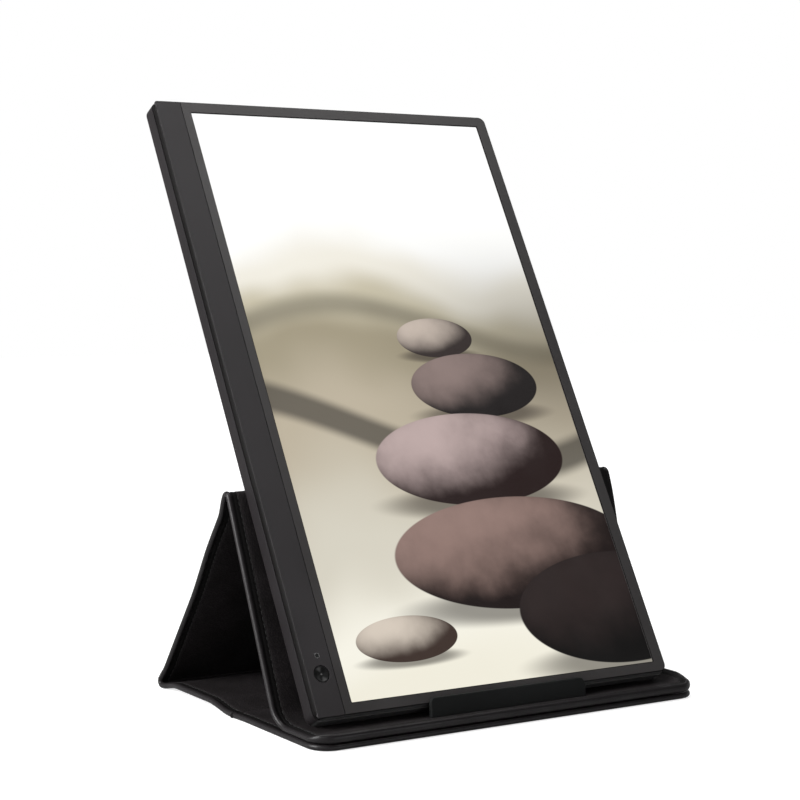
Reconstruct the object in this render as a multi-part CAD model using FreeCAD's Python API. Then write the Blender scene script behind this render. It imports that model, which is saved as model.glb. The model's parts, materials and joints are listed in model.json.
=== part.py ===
import FreeCAD, Part
import math
import os

# Portable 15.6 inch monitor standing upright (portrait) on its folded leatherette cover.
# Millimetres. X runs to the right, Y to the back, Z up. The origin is on the floor, under the
# middle of the object's box. The cover is a flat base of two boards, a leg that rises from the
# base's rear fold, a backrest that comes down from the apex fold, and a flap that lies on the
# base and carries a stop lip. The monitor stands on the flap and leans on the apex.
V = FreeCAD.Vector

# ---- driving dimensions: monitor -------------------------------------------------------------
MON_W = 224.0            # across the short side
MON_H = 358.8            # along the long side
MON_T = 11.9             # over all thickness
MON_X = -0.75            # the monitor's middle, off the cover's middle
MON_CORNER = 5.0         # radius of the four outline corners
LEAN = 30.3              # degrees back from upright
MON_FRONT_Z = 12.4       # height of the front bottom edge above the floor
SCREEN_W = 193.59        # active area of a 15.6 inch 16:9 panel
SCREEN_H = 344.16
CHIN = 22.0              # screen edge to the outline, on the chin side
BEZEL_LOW = 6.8          # screen edge to the outline, at the lower end
CHIN_SEAM = 5.5          # screen edge to the chin cover's seam
FRAME_T = 3.5            # thickness of the front frame
FRAME_STEP = 0.4         # frame's outline sits this far inside the housing's
BEVEL = 0.6              # bevel of the frame's front edge, across
WALL = 1.5               # housing wall
BUTTON_R = 4.25
BUTTON_OFF = 0.7         # the button's middle, off the chin cover's middle
BUTTON_U = 23.1          # height of the button's centre above the monitor's lower end
LED_U = 32.7
LED_R = 1.3

# Depths in the monitor, measured along its front normal from the front face.
FRAME_LIP_T = 0.6        # thin lip round the screen
CHIN_T = 1.25            # chin cover
LEDGE_T = 0.8            # ledge under the chin cover
RIM = 2.7                # outer wall of the frame
BEVEL_DEPTH = 2.7
BUTTON_TOP = -0.15       # the cap sits this far under the chin's face
FLANGE_BACK = -2.1
STEM_BACK = -2.6
BUTTON_BOARD_TOP = -4.1
SWITCH_TOP = -3.5
GLASS_N = (-1.75, -0.65)
FILMS_N = (-2.3, -1.8)
GUIDE_N = (-3.4, -2.35)
REFLECTOR_N = (-3.6, -3.42)
TRAY_N = (-4.05, -3.65)
TIMING_N = (-3.2, -2.4)
BOARD_N = (-6.0, -5.0)
BACK_WALL = 1.6
PARTING_GAP = 0.05       # between the frame and the housing
PARTING_CHAMFER = 0.3
HOUSING_EDGE_R = 1.2     # soft rear edge of the housing
PANEL_OVER = 2.2         # the panel is larger than its active area by this, all round
TRAY_T = 0.4
LED_ZONE = 1.5           # width of the strip of lamps beside the light guide
LED_COUNT = 24
LED_LENGTH = 6.0
LED_SETBACK = 10.0       # first and last lamp, from the panel's ends
LED_STRIP_SETBACK = 2.0
TIMING_X = (-107.5, -96.0)
TIMING_U = (60.0, 330.0)
TIMING_CHIPS = 6
BOARD_X = (-104.0, -60.0)
BOARD_U = (250.0, 354.5)
BOARD_CHIPS = ((12, 20, 14, 14), (30, 22, 9, 9), (14, 44, 8, 12), (30, 45, 6, 6), (26, 66, 12, 5))
BOSS_R = 2.2
SCREW_R = 0.8
RIB_X = (-40.0, 0.0, 40.0, 80.0)
RIB_U = (40.0, 100.0, 160.0, 220.0, 280.0)
RIB_T = 1.2
RIB_H = 1.6
RIB_SUNK = 0.5           # ribs and bosses start this far inside the wall
BOARD_BAY = 2.0          # rib-free margin round the main board
SCREW_HEAD_T = 0.6
SCREW_CLEAR = 0.1
SCREW_EDGE = (4.0, 4.0, 12.0)         # from the board's sides, its lower and its upper end
SCREW_END = 1.2          # the screws end this far above the housing's floor
CLIPS_LONG = 6
CLIPS_SHORT = 4
CLIP_L = 10.0
CLIP_T = 1.0
CLIP_GAP = 0.15          # between a clip and the housing's wall
CLIP_ROOT = 0.3
CLIP_REACH = 2.2         # how far the clips reach into the housing
RIBBON_U = (275.0, 295.0)
RIBBON_T = 0.15
RIBBON_TURN = 1.0
RIBBON_END = 3.0
RIBBON_TAIL = 9.5
BUTTON_CLEAR = 0.25
BUTTON_CHAMFER = 0.2
BUTTON_DISH = 0.4
DISH_RIM = 0.6
DISH_FLOOR_R = 0.5
FLANGE_OVER = 0.7        # the flange that keeps the cap in is wider than the cap by this
FLANGE_CLEAR = 0.5
STEM_R = 1.5
SWITCH_HALF = 2.2
SWITCH_PLUNGER = (1.0, 0.4)
BUTTON_BOARD = (5.5, 7.0, 5.0, 0.8)   # half width, below the button, above the lamp, thickness
PIPE_BACK = -3.6
PIPE_FOOT = (0.2, -2.4)  # its foot is this much wider, up to this depth
LAMP_HALF = (0.8, 0.5)
CHIN_MARGIN = 0.1        # frame's bevel to the chin cover
CHIN_CORNER = 1.2
CHIN_CLEAR = 0.06
CHIN_CHAMFER = 0.15
LEDGE_OVER = 0.6         # the ledge reaches this far past the chin cover's seam
FILM_INSET = 0.5
LED_T = 0.5
LED_GAP = 0.1
TAPE = (1.2, 0.4, 6.0)   # width, setback from the panel's side, setback from its ends
CHIP_T = (0.8, 1.1)      # timing board's, main board's
TIMING_CHIP = (6.0, 7.0, 2.0)         # width, half length, setback
SOCKET_X = -96.0
SOCKET_W = 8.94          # outside of a USB-C receptacle
SOCKET_H = 3.26
SOCKET_L = 7.35
SOCKET_WALL = 0.3
SOCKET_CLEAR = 0.2
SOCKET_BACK_T = 0.8
SOCKET_SETBACK = 0.4     # its mouth to the monitor's upper end
TONGUE_W = 6.7
TONGUE_T = 0.7
TONGUE_SETBACK = 1.0

# ---- driving dimensions: cover ---------------------------------------------------------------
COVER_W = 241.4
PLATE_T = 2.8            # board with its two skins
WELT_R = 1.6             # rolled edge along the free sides
BOARD_T = 1.5            # stiffening board inside each panel
BOARD_MARGIN = 1.2       # seam to the board
BOARD_END = 1.0          # fold end of the panel to the board
SEAM_INSET = 5.6         # outline to the stitched seam
SEAM_W = 0.8
SEAM_D = 0.3
CORNER_R = 12.0          # front corners of the base and of the flap
FRONT_Y = -14.4          # front edge, measured from the monitor's front bottom edge
CREASE_Y = 72.0          # crease between the two base boards
CREASE_HALF = 1.9        # half the gap between those boards
REAR_FOLD = (157.0, 1.6)     # (y, z) where the base's and the leg's middle planes meet
APEX_FOLD = (76.45, 116.9)   # (y, z) where the leg's and the backrest's middle planes meet
BACKREST_ANGLE = 66.2    # degrees from the floor
FOLD_R = 2.2             # bend radius of the tight folds, at the middle plane
BEND_R = 15.0            # bend radius of the soft fold between backrest and flap
STRIP_T = 1.6            # leatherette in the folds, both skins
OVERRUN = 1.0            # cutters run this far past what they cut
WELT_SIDES = 8           # a welt's section is an octagon, WELT_R from its middle to its flats
LAYER_GAP = 0.3          # between the base and the flap that lies on it
FOLD_GAP = 0.3           # between a fold strip and the panel it leads to
CREASE_THIN = 0.1        # the crease strip is this much thinner than the panels, on each side
LIP_W = 98.6
LIP_X = 1.9              # the lip's middle, off the cover's middle
LIP_T = 3.0              # at its foot
LIP_TOP_T = 1.8
LIP_LEAN = 1.0           # its top stands this far behind its foot
LIP_H = 9.6
LIP_CORNER = 3.0
LIP_CLEAR = 0.4          # between the lip and the monitor
MAGNET_SIZE = (20.0, 5.0, 0.9)
MAGNET_SETBACK = 24.0    # from the panel's fold-free end
MAGNET_X = (-92.0, -46.0, 46.0, 92.0)

# ---- places worked out from them -------------------------------------------------------------
SIN_L = math.sin(math.radians(LEAN))
COS_L = math.cos(math.radians(LEAN))
# Rearmost line of the monitor: its upper rear edge, less what the soft edge takes off.
REAR_Y = MON_H * SIN_L + MON_T * COS_L - HOUSING_EDGE_R * (SIN_L + COS_L - 1)
ORIGIN_Y = (FRONT_Y + REAR_Y) / 2
HALF_W = COVER_W / 2
FLAP_Z = 3 * WELT_R + LAYER_GAP                  # the flap's middle plane
LEG_ANGLE = math.degrees(math.atan2(APEX_FOLD[1] - REAR_FOLD[1], REAR_FOLD[0] - APEX_FOLD[0]))
LEG_LENGTH = math.hypot(APEX_FOLD[1] - REAR_FOLD[1], REAR_FOLD[0] - APEX_FOLD[0])
BACKREST_LENGTH = (APEX_FOLD[1] - FLAP_Z) / math.sin(math.radians(BACKREST_ANGLE))
LOW_FOLD = (APEX_FOLD[0] - BACKREST_LENGTH * math.cos(math.radians(BACKREST_ANGLE)), FLAP_Z)
REAR_INNER = LEG_ANGLE                           # inside angles of the folds
APEX_INNER = 180 - LEG_ANGLE - BACKREST_ANGLE
LOW_INNER = 180 - BACKREST_ANGLE

LEFT = MON_X - MON_W / 2                         # monitor's local x limits
RIGHT = MON_X + MON_W / 2
SCREEN_X0 = LEFT + CHIN
SCREEN_X1 = SCREEN_X0 + SCREEN_W
SCREEN_U0 = BEZEL_LOW
SCREEN_U1 = BEZEL_LOW + SCREEN_H
CHIN_END = FRAME_STEP + BEVEL + CHIN_MARGIN
CHIN_X0 = LEFT + CHIN_END
CHIN_X1 = SCREEN_X0 - CHIN_SEAM
BUTTON_X = (CHIN_X0 + CHIN_X1) / 2 + BUTTON_OFF
HOUSING_FRONT = -FRAME_T - PARTING_GAP
FLOOR_N = -MON_T + BACK_WALL
SOCKET_N = BOARD_N[0] - SOCKET_H / 2

parts = {}


# ---- small helpers ---------------------------------------------------------------------------
def box(x0, x1, y0, y1, z0, z1):
    return Part.makeBox(x1 - x0, y1 - y0, z1 - z0, V(x0, y0, z0))


def rod(x, y, z0, z1, radius):
    return Part.makeCylinder(radius, z1 - z0, V(x, y, z0))


def upright_edges(shape):
    """Edges that run along z."""
    picked = []
    for edge in shape.Edges:
        a, b = edge.Vertexes[0].Point, edge.Vertexes[-1].Point
        if abs(a.x - b.x) < 1e-6 and abs(a.y - b.y) < 1e-6:
            picked.append(edge)
    return picked


def edges_at(shape, z):
    """Edges that lie flat at the height z."""
    return [e for e in shape.Edges if all(abs(v.Point.z - z) < 1e-6 for v in e.Vertexes)]


def rounded_box(x0, x1, y0, y1, z0, z1, radius):
    solid = box(x0, x1, y0, y1, z0, z1)
    return solid.makeFillet(radius, upright_edges(solid))


def group(solids):
    return Part.makeCompound(solids)


def turned(shape, y, z, degrees):
    """Local (x, v, w) to the object's frame: v turned up from +Y by degrees, then set at (y, z)."""
    placed = shape.copy()
    placed.rotate(V(0, 0, 0), V(1, 0, 0), degrees)
    placed.translate(V(0, y - ORIGIN_Y, z))
    return placed


def on_monitor(shape):
    """The monitor's local frame: x across, u along the long side, n out of the front face."""
    return turned(shape, 0.0, MON_FRONT_Z, 90.0 - LEAN)


# ---- cover panels ----------------------------------------------------------------------------
def edge_path(inset, start, end, corner, w=0.0):
    """Wire down the left side, round the far edge and back, or two lines where corner is 0."""
    x = HALF_W - inset
    if not corner:
        return [Part.Wire(Part.makeLine(V(s * x, start, w), V(s * x, end, w))) for s in (-1, 1)]
    far = end - inset
    r = corner - inset
    k = r * math.sqrt(0.5)
    left_mid = V(-x + r - k, far - r + k, w)
    right_mid = V(x - r + k, far - r + k, w)
    edges = [
        Part.makeLine(V(-x, start, w), V(-x, far - r, w)),
        Part.Arc(V(-x, far - r, w), left_mid, V(-x + r, far, w)).toShape(),
        Part.makeLine(V(-x + r, far, w), V(x - r, far, w)),
        Part.Arc(V(x - r, far, w), right_mid, V(x, far - r, w)).toShape(),
        Part.makeLine(V(x, far - r, w), V(x, start, w)),
    ]
    return [Part.Wire(edges)]


def welt_section(x, v, w):
    """Octagon across the direction v, with flats on its four sides."""
    corner_r = WELT_R / math.cos(math.pi / WELT_SIDES)
    turns = [2 * math.pi * (i + 0.5) / WELT_SIDES for i in range(WELT_SIDES + 1)]
    return Part.makePolygon([V(x + corner_r * math.cos(t), v, w + corner_r * math.sin(t)) for t in turns])


def swept(path, section):
    """Solid of one closed section carried along a wire that starts along +v on its left side."""
    return path.makePipeShell([section], True, True)


def plate(inset, start, end, corner, w0, w1):
    """Flat plate inside the panel's outline; its far corners are round where corner isn't 0."""
    far = end - inset if corner else end
    solid = box(-HALF_W + inset, HALF_W - inset, start, far, w0, w1)
    if not corner:
        return solid
    round_edges = [e for e in upright_edges(solid) if abs(e.Vertexes[0].Point.y - far) < 1e-6]
    return solid.makeFillet(corner - inset, round_edges)


def seam_groove(start, end, corner, face_w, depth_sign):
    """Shallow channel in which the stitches lie, on one face of a panel."""
    inset = SEAM_INSET
    outer = plate(inset - SEAM_W / 2, start, end, corner, 0, SEAM_D)
    inner_end = end + (0 if corner else OVERRUN)
    inner = plate(inset + SEAM_W / 2, start - OVERRUN, inner_end, corner, -OVERRUN, SEAM_D + OVERRUN)
    ring = outer.cut(inner)
    ring.translate(V(0, 0, face_w - SEAM_D if depth_sign > 0 else face_w))
    return ring


def panel(start, end, corner, low, seams=(-1, 1)):
    """One cover panel in its local frame: leatherette wrap with welt, and the board inside it."""
    high = low + PLATE_T
    mid = (low + high) / 2
    wrap = plate(WELT_R, start, end, corner, low, high)
    for path in edge_path(WELT_R, start, end, corner):
        first = path.Vertexes[0].Point
        wrap = wrap.fuse(swept(path, welt_section(first.x, first.y, first.z)))
    for side in seams:
        face = high if side > 0 else low
        wrap = wrap.cut(seam_groove(start, end, corner, face, side))
    board_end = end if corner else end - BOARD_END
    inset = SEAM_INSET + BOARD_MARGIN
    core = plate(inset, start + BOARD_END, board_end, corner, mid - BOARD_T / 2, mid + BOARD_T / 2)
    wrap = wrap.cut(core).removeSplitter()
    return wrap, core


def bend_strip(radius, inner_angle):
    """Fold strip in the fold's own frame: first panel along -v, second one turned up from it.

    The bend's centre is at radius above the first panel's middle plane. The strip ends a small
    gap short of the second panel.
    """
    sweep = 180.0 - inner_angle
    trim = math.degrees(FOLD_GAP / radius)
    centre = V(0, -radius / math.tan(math.radians(inner_angle / 2)), radius)
    r0 = radius - STRIP_T / 2
    r1 = radius + STRIP_T / 2
    x = HALF_W - WELT_R
    section = Part.makePolygon([
        V(-x, centre.y, centre.z - r1), V(x, centre.y, centre.z - r1),
        V(x, centre.y, centre.z - r0), V(-x, centre.y, centre.z - r0),
        V(-x, centre.y, centre.z - r1),
    ])
    strip = Part.Face(section).revolve(centre, V(1, 0, 0), sweep - trim)
    for side in (-1, 1):
        welt = Part.Face(welt_section(side * x, centre.y, centre.z - radius))
        strip = strip.fuse(welt.revolve(centre, V(1, 0, 0), sweep - trim))
    return strip.removeSplitter()


def setback(radius, inner_angle):
    """Distance from a fold's vertex to the end of its round stretch."""
    return radius / math.tan(math.radians(inner_angle / 2))


REAR_SET = setback(FOLD_R, REAR_INNER)
APEX_SET = setback(FOLD_R, APEX_INNER)
LOW_SET = setback(BEND_R, LOW_INNER)


def build_base():
    # The plates' undersides and the welts' undersides share the floor plane.
    low = -WELT_R
    rear_start = CREASE_Y + CREASE_HALF
    rear_end = REAR_FOLD[0] - REAR_SET
    wrap, board = panel(0.0, rear_end - rear_start, 0, low, seams=(1,))
    parts["base_rear_cover"] = turned(wrap, rear_start, WELT_R, 0)
    parts["base_rear_board"] = turned(board, rear_start, WELT_R, 0)

    front_length = CREASE_Y - CREASE_HALF - FRONT_Y
    wrap, board = panel(0.0, front_length, CORNER_R, low, seams=(1,))
    magnets = magnet_row(front_length - MAGNET_SETBACK, low + PLATE_T / 2)
    board = board.cut(magnets)

    def face_front(shape):
        flipped = shape.copy()
        flipped.rotate(V(0, 0, 0), V(0, 0, 1), 180)
        return turned(flipped, CREASE_Y - CREASE_HALF, WELT_R, 0)

    parts["base_front_cover"] = face_front(wrap)
    parts["base_front_board"] = face_front(board)
    parts["base_magnets"] = face_front(magnets)

    gap = CREASE_HALF - FOLD_GAP
    x = HALF_W - WELT_R
    strip = box(-x, x, -gap, CREASE_HALF, low + CREASE_THIN, low + CREASE_THIN + STRIP_T)
    for side in (-1, 1):
        welt = Part.Face(welt_section(side * x, -gap, 0))
        strip = strip.fuse(welt.extrude(V(0, gap + CREASE_HALF, 0)))
    parts["middle_crease"] = turned(strip, CREASE_Y, WELT_R, 0)


def magnet_row(v, w):
    """Flat bar magnets in a row across a panel."""
    long, wide, thin = (size / 2 for size in MAGNET_SIZE)
    return group([box(x - long, x + long, v - wide, v + wide, w - thin, w + thin) for x in MAGNET_X])


def build_leg():
    wrap, board = panel(REAR_SET + FOLD_GAP, LEG_LENGTH - APEX_SET, 0, -PLATE_T / 2)
    angle = 180.0 - LEG_ANGLE
    parts["leg_cover"] = turned(wrap, REAR_FOLD[0], REAR_FOLD[1], angle)
    parts["leg_board"] = turned(board, REAR_FOLD[0], REAR_FOLD[1], angle)
    strip = bend_strip(FOLD_R, REAR_INNER)
    # The base lies towards -v of the rear fold, and the strip belongs to the base.
    parts["rear_fold"] = turned(strip, REAR_FOLD[0], REAR_FOLD[1], 0)


def build_backrest():
    wrap, board = panel(APEX_SET + FOLD_GAP, BACKREST_LENGTH - LOW_SET, 0, -PLATE_T / 2)
    angle = 180.0 + BACKREST_ANGLE
    parts["backrest_cover"] = turned(wrap, APEX_FOLD[0], APEX_FOLD[1], angle)
    parts["backrest_board"] = turned(board, APEX_FOLD[0], APEX_FOLD[1], angle)
    strip = bend_strip(FOLD_R, APEX_INNER)
    parts["apex_fold"] = turned(strip, APEX_FOLD[0], APEX_FOLD[1], 180.0 - LEG_ANGLE)


def build_flap():
    length = LOW_FOLD[0] - FRONT_Y
    wrap, board = panel(LOW_SET + FOLD_GAP, length, CORNER_R, -PLATE_T / 2)
    magnets = magnet_row(length - MAGNET_SETBACK, 0.0)
    board = board.cut(magnets)

    def face_front(shape):
        flipped = shape.copy()
        flipped.rotate(V(0, 0, 0), V(0, 0, 1), 180)
        return turned(flipped, LOW_FOLD[0], FLAP_Z, 0)

    parts["flap_cover"] = face_front(wrap)
    parts["flap_board"] = face_front(board)
    parts["flap_magnets"] = face_front(magnets)

    # Soft fold: the backrest comes down along -v, and the strip turns forward into the flap.
    strip = bend_strip(BEND_R, LOW_INNER)
    strip = strip.mirror(V(0, 0, 0), V(0, 0, 1))
    parts["lower_fold"] = turned(strip, LOW_FOLD[0], LOW_FOLD[1], 180.0 + BACKREST_ANGLE)


def build_lip():
    """Stop lip in front of the monitor: it leans back a little and has round upper corners."""
    foot_z = FLAP_Z + PLATE_T / 2
    top_z = foot_z + LIP_H
    back_y = -LIP_CLEAR
    front_foot = back_y - LIP_T
    profile = [
        V(0, front_foot, foot_z), V(0, back_y, foot_z), V(0, back_y, MON_FRONT_Z),
        V(0, back_y + LIP_LEAN, top_z), V(0, back_y + LIP_LEAN - LIP_TOP_T, top_z),
        V(0, front_foot, foot_z),
    ]
    lip = Part.Face(Part.makePolygon(profile)).extrude(V(LIP_W, 0, 0))
    ends = [e for e in edges_at(lip, top_z) if abs(e.Vertexes[0].Point.x - e.Vertexes[-1].Point.x) < 1e-6]
    lip = lip.makeFillet(LIP_CORNER, ends)
    lip.translate(V(LIP_X - LIP_W / 2, -ORIGIN_Y, 0))
    parts["stop_lip"] = lip


def build_cover():
    build_base()
    build_leg()
    build_backrest()
    build_flap()
    build_lip()


# ---- monitor ---------------------------------------------------------------------------------
def outline(x0, x1, u0, u1, radius, n):
    """Closed wire of a rounded rectangle at the depth n."""
    k = radius * (1 - math.sqrt(0.5))
    corners = [
        (V(x1 - radius, u0, n), V(x1 - k, u0 + k, n), V(x1, u0 + radius, n)),
        (V(x1, u1 - radius, n), V(x1 - k, u1 - k, n), V(x1 - radius, u1, n)),
        (V(x0 + radius, u1, n), V(x0 + k, u1 - k, n), V(x0, u1 - radius, n)),
        (V(x0, u0 + radius, n), V(x0 + k, u0 + k, n), V(x0 + radius, u0, n)),
    ]
    edges = []
    for i, (start, middle, end) in enumerate(corners):
        edges.append(Part.Arc(start, middle, end).toShape())
        edges.append(Part.makeLine(end, corners[(i + 1) % 4][0]))
    return Part.Wire(edges)


def board_corners():
    """Screw places of the main board."""
    side, below, above = SCREW_EDGE
    xs = (BOARD_X[0] + side, BOARD_X[1] - side)
    us = (BOARD_U[0] + below, BOARD_U[1] - above)
    return [(x, u) for x in xs for u in us]


def socket_block(u0, u1, grow):
    """The socket's round-ended section between two heights, grown all round by grow."""
    half_w = SOCKET_W / 2 + grow
    half_h = SOCKET_H / 2 + grow
    block = box(SOCKET_X - half_w, SOCKET_X + half_w, u0, u1, SOCKET_N - half_h, SOCKET_N + half_h)
    long_edges = [e for e in block.Edges if abs(e.Vertexes[0].Point.y - e.Vertexes[-1].Point.y) > 0.1]
    return block.makeFillet(half_h * 0.98, long_edges)


def build_rear_housing():
    """Moulded tray: walls, soft rear edge, ribs, board bosses and the socket's opening."""
    shell = rounded_box(LEFT, RIGHT, 0, MON_H, -MON_T, HOUSING_FRONT, MON_CORNER)
    shell = shell.makeFillet(HOUSING_EDGE_R, edges_at(shell, -MON_T))
    shell = shell.makeChamfer(PARTING_CHAMFER, edges_at(shell, HOUSING_FRONT))
    hollow = rounded_box(LEFT + WALL, RIGHT - WALL, WALL, MON_H - WALL, FLOOR_N, 0, MON_CORNER - WALL)
    shell = shell.cut(hollow)
    sunk = RIB_SUNK
    low = FLOOR_N - sunk
    top = FLOOR_N + RIB_H
    ribs = []
    for x in RIB_X:
        ribs.append(box(x - RIB_T / 2, x + RIB_T / 2, WALL - sunk, MON_H - WALL + sunk, low, top))
    for u in RIB_U:
        ribs.append(box(LEFT + WALL - sunk, RIGHT - WALL + sunk, u - RIB_T / 2, u + RIB_T / 2, low, top))
    shell = shell.fuse(ribs)
    bay_x0, bay_x1 = BOARD_X[0] - BOARD_BAY, BOARD_X[1] + BOARD_BAY
    shell = shell.cut(box(bay_x0, bay_x1, BOARD_U[0] - BOARD_BAY, MON_H - WALL, FLOOR_N, 0))
    for x, u in board_corners():
        shell = shell.fuse(box(x - BOSS_R, x + BOSS_R, u - BOSS_R, u + BOSS_R, low, BOARD_N[0]))
        shell = shell.cut(rod(x, u, FLOOR_N, 0, SCREW_R))
    shell = shell.cut(socket_block(MON_H - 2 * WALL, MON_H + OVERRUN, SOCKET_CLEAR))
    parts["rear_housing"] = shell.removeSplitter()


def chin_outline(grow, n0, n1):
    """Strip of the chin cover, grown all round by grow."""
    u0, u1 = CHIN_END - grow, MON_H - CHIN_END + grow
    return rounded_box(CHIN_X0 - grow, CHIN_X1 + grow, u0, u1, n0, n1, CHIN_CORNER)


def clips():
    """Snap clips that reach from the frame into the housing, along all four sides."""
    inner = WALL + CLIP_GAP
    back = -FRAME_T - CLIP_REACH
    root = -FRAME_T + CLIP_ROOT
    half = CLIP_L / 2
    found = []
    for i in range(CLIPS_LONG):
        u = MON_H * (i + 0.5) / CLIPS_LONG
        for x in (LEFT + inner, RIGHT - inner - CLIP_T):
            found.append(box(x, x + CLIP_T, u - half, u + half, back, root))
    for i in range(CLIPS_SHORT):
        x = LEFT + MON_W * (i + 1) / (CLIPS_SHORT + 1)
        for u in (inner, MON_H - inner - CLIP_T):
            found.append(box(x - half, x + half, u, u + CLIP_T, back, root))
    return found


def build_front_frame():
    """Bezel frame: bevelled edge, rim, thin lip over the panel, ledge for the chin, clips."""
    x0, x1 = LEFT + FRAME_STEP, RIGHT - FRAME_STEP
    u0, u1 = FRAME_STEP, MON_H - FRAME_STEP
    corner = MON_CORNER - FRAME_STEP
    frame = rounded_box(x0, x1, u0, u1, -FRAME_T, -BEVEL_DEPTH, corner)
    lower = outline(x0, x1, u0, u1, corner, -BEVEL_DEPTH)
    upper = outline(x0 + BEVEL, x1 - BEVEL, u0 + BEVEL, u1 - BEVEL, corner - BEVEL, 0)
    frame = frame.fuse(Part.makeLoft([lower, upper], True, True))
    back = -FRAME_T - OVERRUN
    frame = frame.cut(box(x0 + RIM, x1 - RIM, u0 + RIM, u1 - RIM, back, -CHIN_T - LEDGE_T))
    frame = frame.cut(box(CHIN_X1 + LEDGE_OVER, x1 - RIM, u0 + RIM, u1 - RIM, back, -FRAME_LIP_T))
    frame = frame.cut(box(SCREEN_X0, SCREEN_X1, SCREEN_U0, SCREEN_U1, back, OVERRUN))
    frame = frame.cut(chin_outline(CHIN_CLEAR, -CHIN_T, OVERRUN))
    flange_hole_r = BUTTON_R + FLANGE_OVER + FLANGE_CLEAR
    frame = frame.cut(rod(BUTTON_X, BUTTON_U, -FRAME_T, 0, flange_hole_r))
    frame = frame.cut(rod(BUTTON_X, LED_U, -FRAME_T, 0, LED_R + BUTTON_CLEAR))
    parts["front_frame"] = frame.fuse(clips()).removeSplitter()


def build_chin_cover():
    cover = chin_outline(0, -CHIN_T, 0)
    cover = cover.makeChamfer(CHIN_CHAMFER, edges_at(cover, 0))
    cover = cover.cut(rod(BUTTON_X, BUTTON_U, -CHIN_T - OVERRUN, OVERRUN, BUTTON_R + BUTTON_CLEAR))
    parts["chin_cover"] = cover.cut(rod(BUTTON_X, LED_U, -CHIN_T - OVERRUN, OVERRUN, LED_R + PARTING_GAP))


def build_button():
    """Round dished cap, kept in its hole by a flange, its stem over a small switch."""
    cap = rod(BUTTON_X, BUTTON_U, FLANGE_BACK, BUTTON_TOP, BUTTON_R)
    cap = cap.makeChamfer(BUTTON_CHAMFER, edges_at(cap, BUTTON_TOP))
    dish_foot = V(BUTTON_X, BUTTON_U, BUTTON_TOP - BUTTON_DISH)
    cap = cap.cut(Part.makeCone(DISH_FLOOR_R, BUTTON_R - DISH_RIM, BUTTON_DISH, dish_foot))
    flange_top = -CHIN_T - BUTTON_CLEAR
    cap = cap.fuse(rod(BUTTON_X, BUTTON_U, FLANGE_BACK, flange_top, BUTTON_R + FLANGE_OVER))
    cap = cap.fuse(rod(BUTTON_X, BUTTON_U, STEM_BACK, FLANGE_BACK, STEM_R))
    parts["power_button_cap"] = cap.removeSplitter()

    x0, x1 = BUTTON_X - SWITCH_HALF, BUTTON_X + SWITCH_HALF
    u0, u1 = BUTTON_U - SWITCH_HALF, BUTTON_U + SWITCH_HALF
    plunger_r, plunger_h = SWITCH_PLUNGER
    body = box(x0, x1, u0, u1, BUTTON_BOARD_TOP, SWITCH_TOP)
    plunger = rod(BUTTON_X, BUTTON_U, SWITCH_TOP, SWITCH_TOP + plunger_h, plunger_r)
    parts["button_switch"] = body.fuse(plunger)

    half_w, below, above, thick = BUTTON_BOARD
    x0, x1 = BUTTON_X - half_w, BUTTON_X + half_w
    board_n = (BUTTON_BOARD_TOP - thick, BUTTON_BOARD_TOP)
    parts["button_board"] = box(x0, x1, BUTTON_U - below, LED_U + above, *board_n)
    foot_over, foot_top = PIPE_FOOT
    pipe = rod(BUTTON_X, LED_U, PIPE_BACK, -CHIN_CLEAR, LED_R)
    foot = rod(BUTTON_X, LED_U, PIPE_BACK, foot_top, LED_R + foot_over)
    parts["indicator_light_pipe"] = pipe.fuse(foot)
    x0, x1 = BUTTON_X - LAMP_HALF[0], BUTTON_X + LAMP_HALF[0]
    u0, u1 = LED_U - LAMP_HALF[1], LED_U + LAMP_HALF[1]
    parts["indicator_led"] = box(x0, x1, u0, u1, BUTTON_BOARD_TOP, PIPE_BACK - PARTING_GAP)


def build_panel():
    """The screen's layers, front to back, in their folded steel tray."""
    x0, x1 = SCREEN_X0 - PANEL_OVER, SCREEN_X1 + PANEL_OVER
    u0, u1 = SCREEN_U0 - PANEL_OVER, SCREEN_U1 + PANEL_OVER
    inset = FILM_INSET
    parts["lcd_panel"] = box(x0, x1, u0, u1, *GLASS_N)
    parts["diffuser_films"] = box(x0 + inset, x1 - inset, u0 + inset, u1 - inset, *FILMS_N)
    parts["light_guide"] = box(x0 + inset, x1 - inset, u0 + inset, u1 - inset, *GUIDE_N)
    strip_x = x0 - LED_ZONE
    parts["reflector_sheet"] = box(strip_x, x1 - inset, u0 + inset, u1 - inset, *REFLECTOR_N)
    rim_n = FILMS_N[1] - PARTING_GAP
    tray_x = strip_x - LED_GAP
    tray = box(tray_x - TRAY_T, x1 + TRAY_T, u0 - TRAY_T, u1 + TRAY_T, TRAY_N[0], rim_n)
    parts["backlight_tray"] = tray.cut(box(tray_x, x1, u0, u1, TRAY_N[1], 0))

    lamp_x = strip_x + LED_T
    strip_u = (u0 + LED_STRIP_SETBACK, u1 - LED_STRIP_SETBACK)
    parts["led_strip"] = box(strip_x, lamp_x, *strip_u, GUIDE_N[0], rim_n - LED_GAP)
    first = u0 + LED_SETBACK
    pitch = (u1 - LED_SETBACK - first) / (LED_COUNT - 1)
    half = LED_LENGTH / 2
    lamps = []
    for i in range(LED_COUNT):
        u = first + i * pitch
        lamps.append(box(lamp_x, x0, u - half, u + half, GUIDE_N[0] + LED_GAP, GUIDE_N[1] - LED_GAP))
    parts["backlight_leds"] = group(lamps)

    wide, side, end = TAPE
    tape = [
        box(x, x + wide, u0 + end, u1 - end, GLASS_N[1], -FRAME_LIP_T)
        for x in (x0 + side, x1 - side - wide)
    ]
    parts["panel_tape"] = group(tape)


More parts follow.
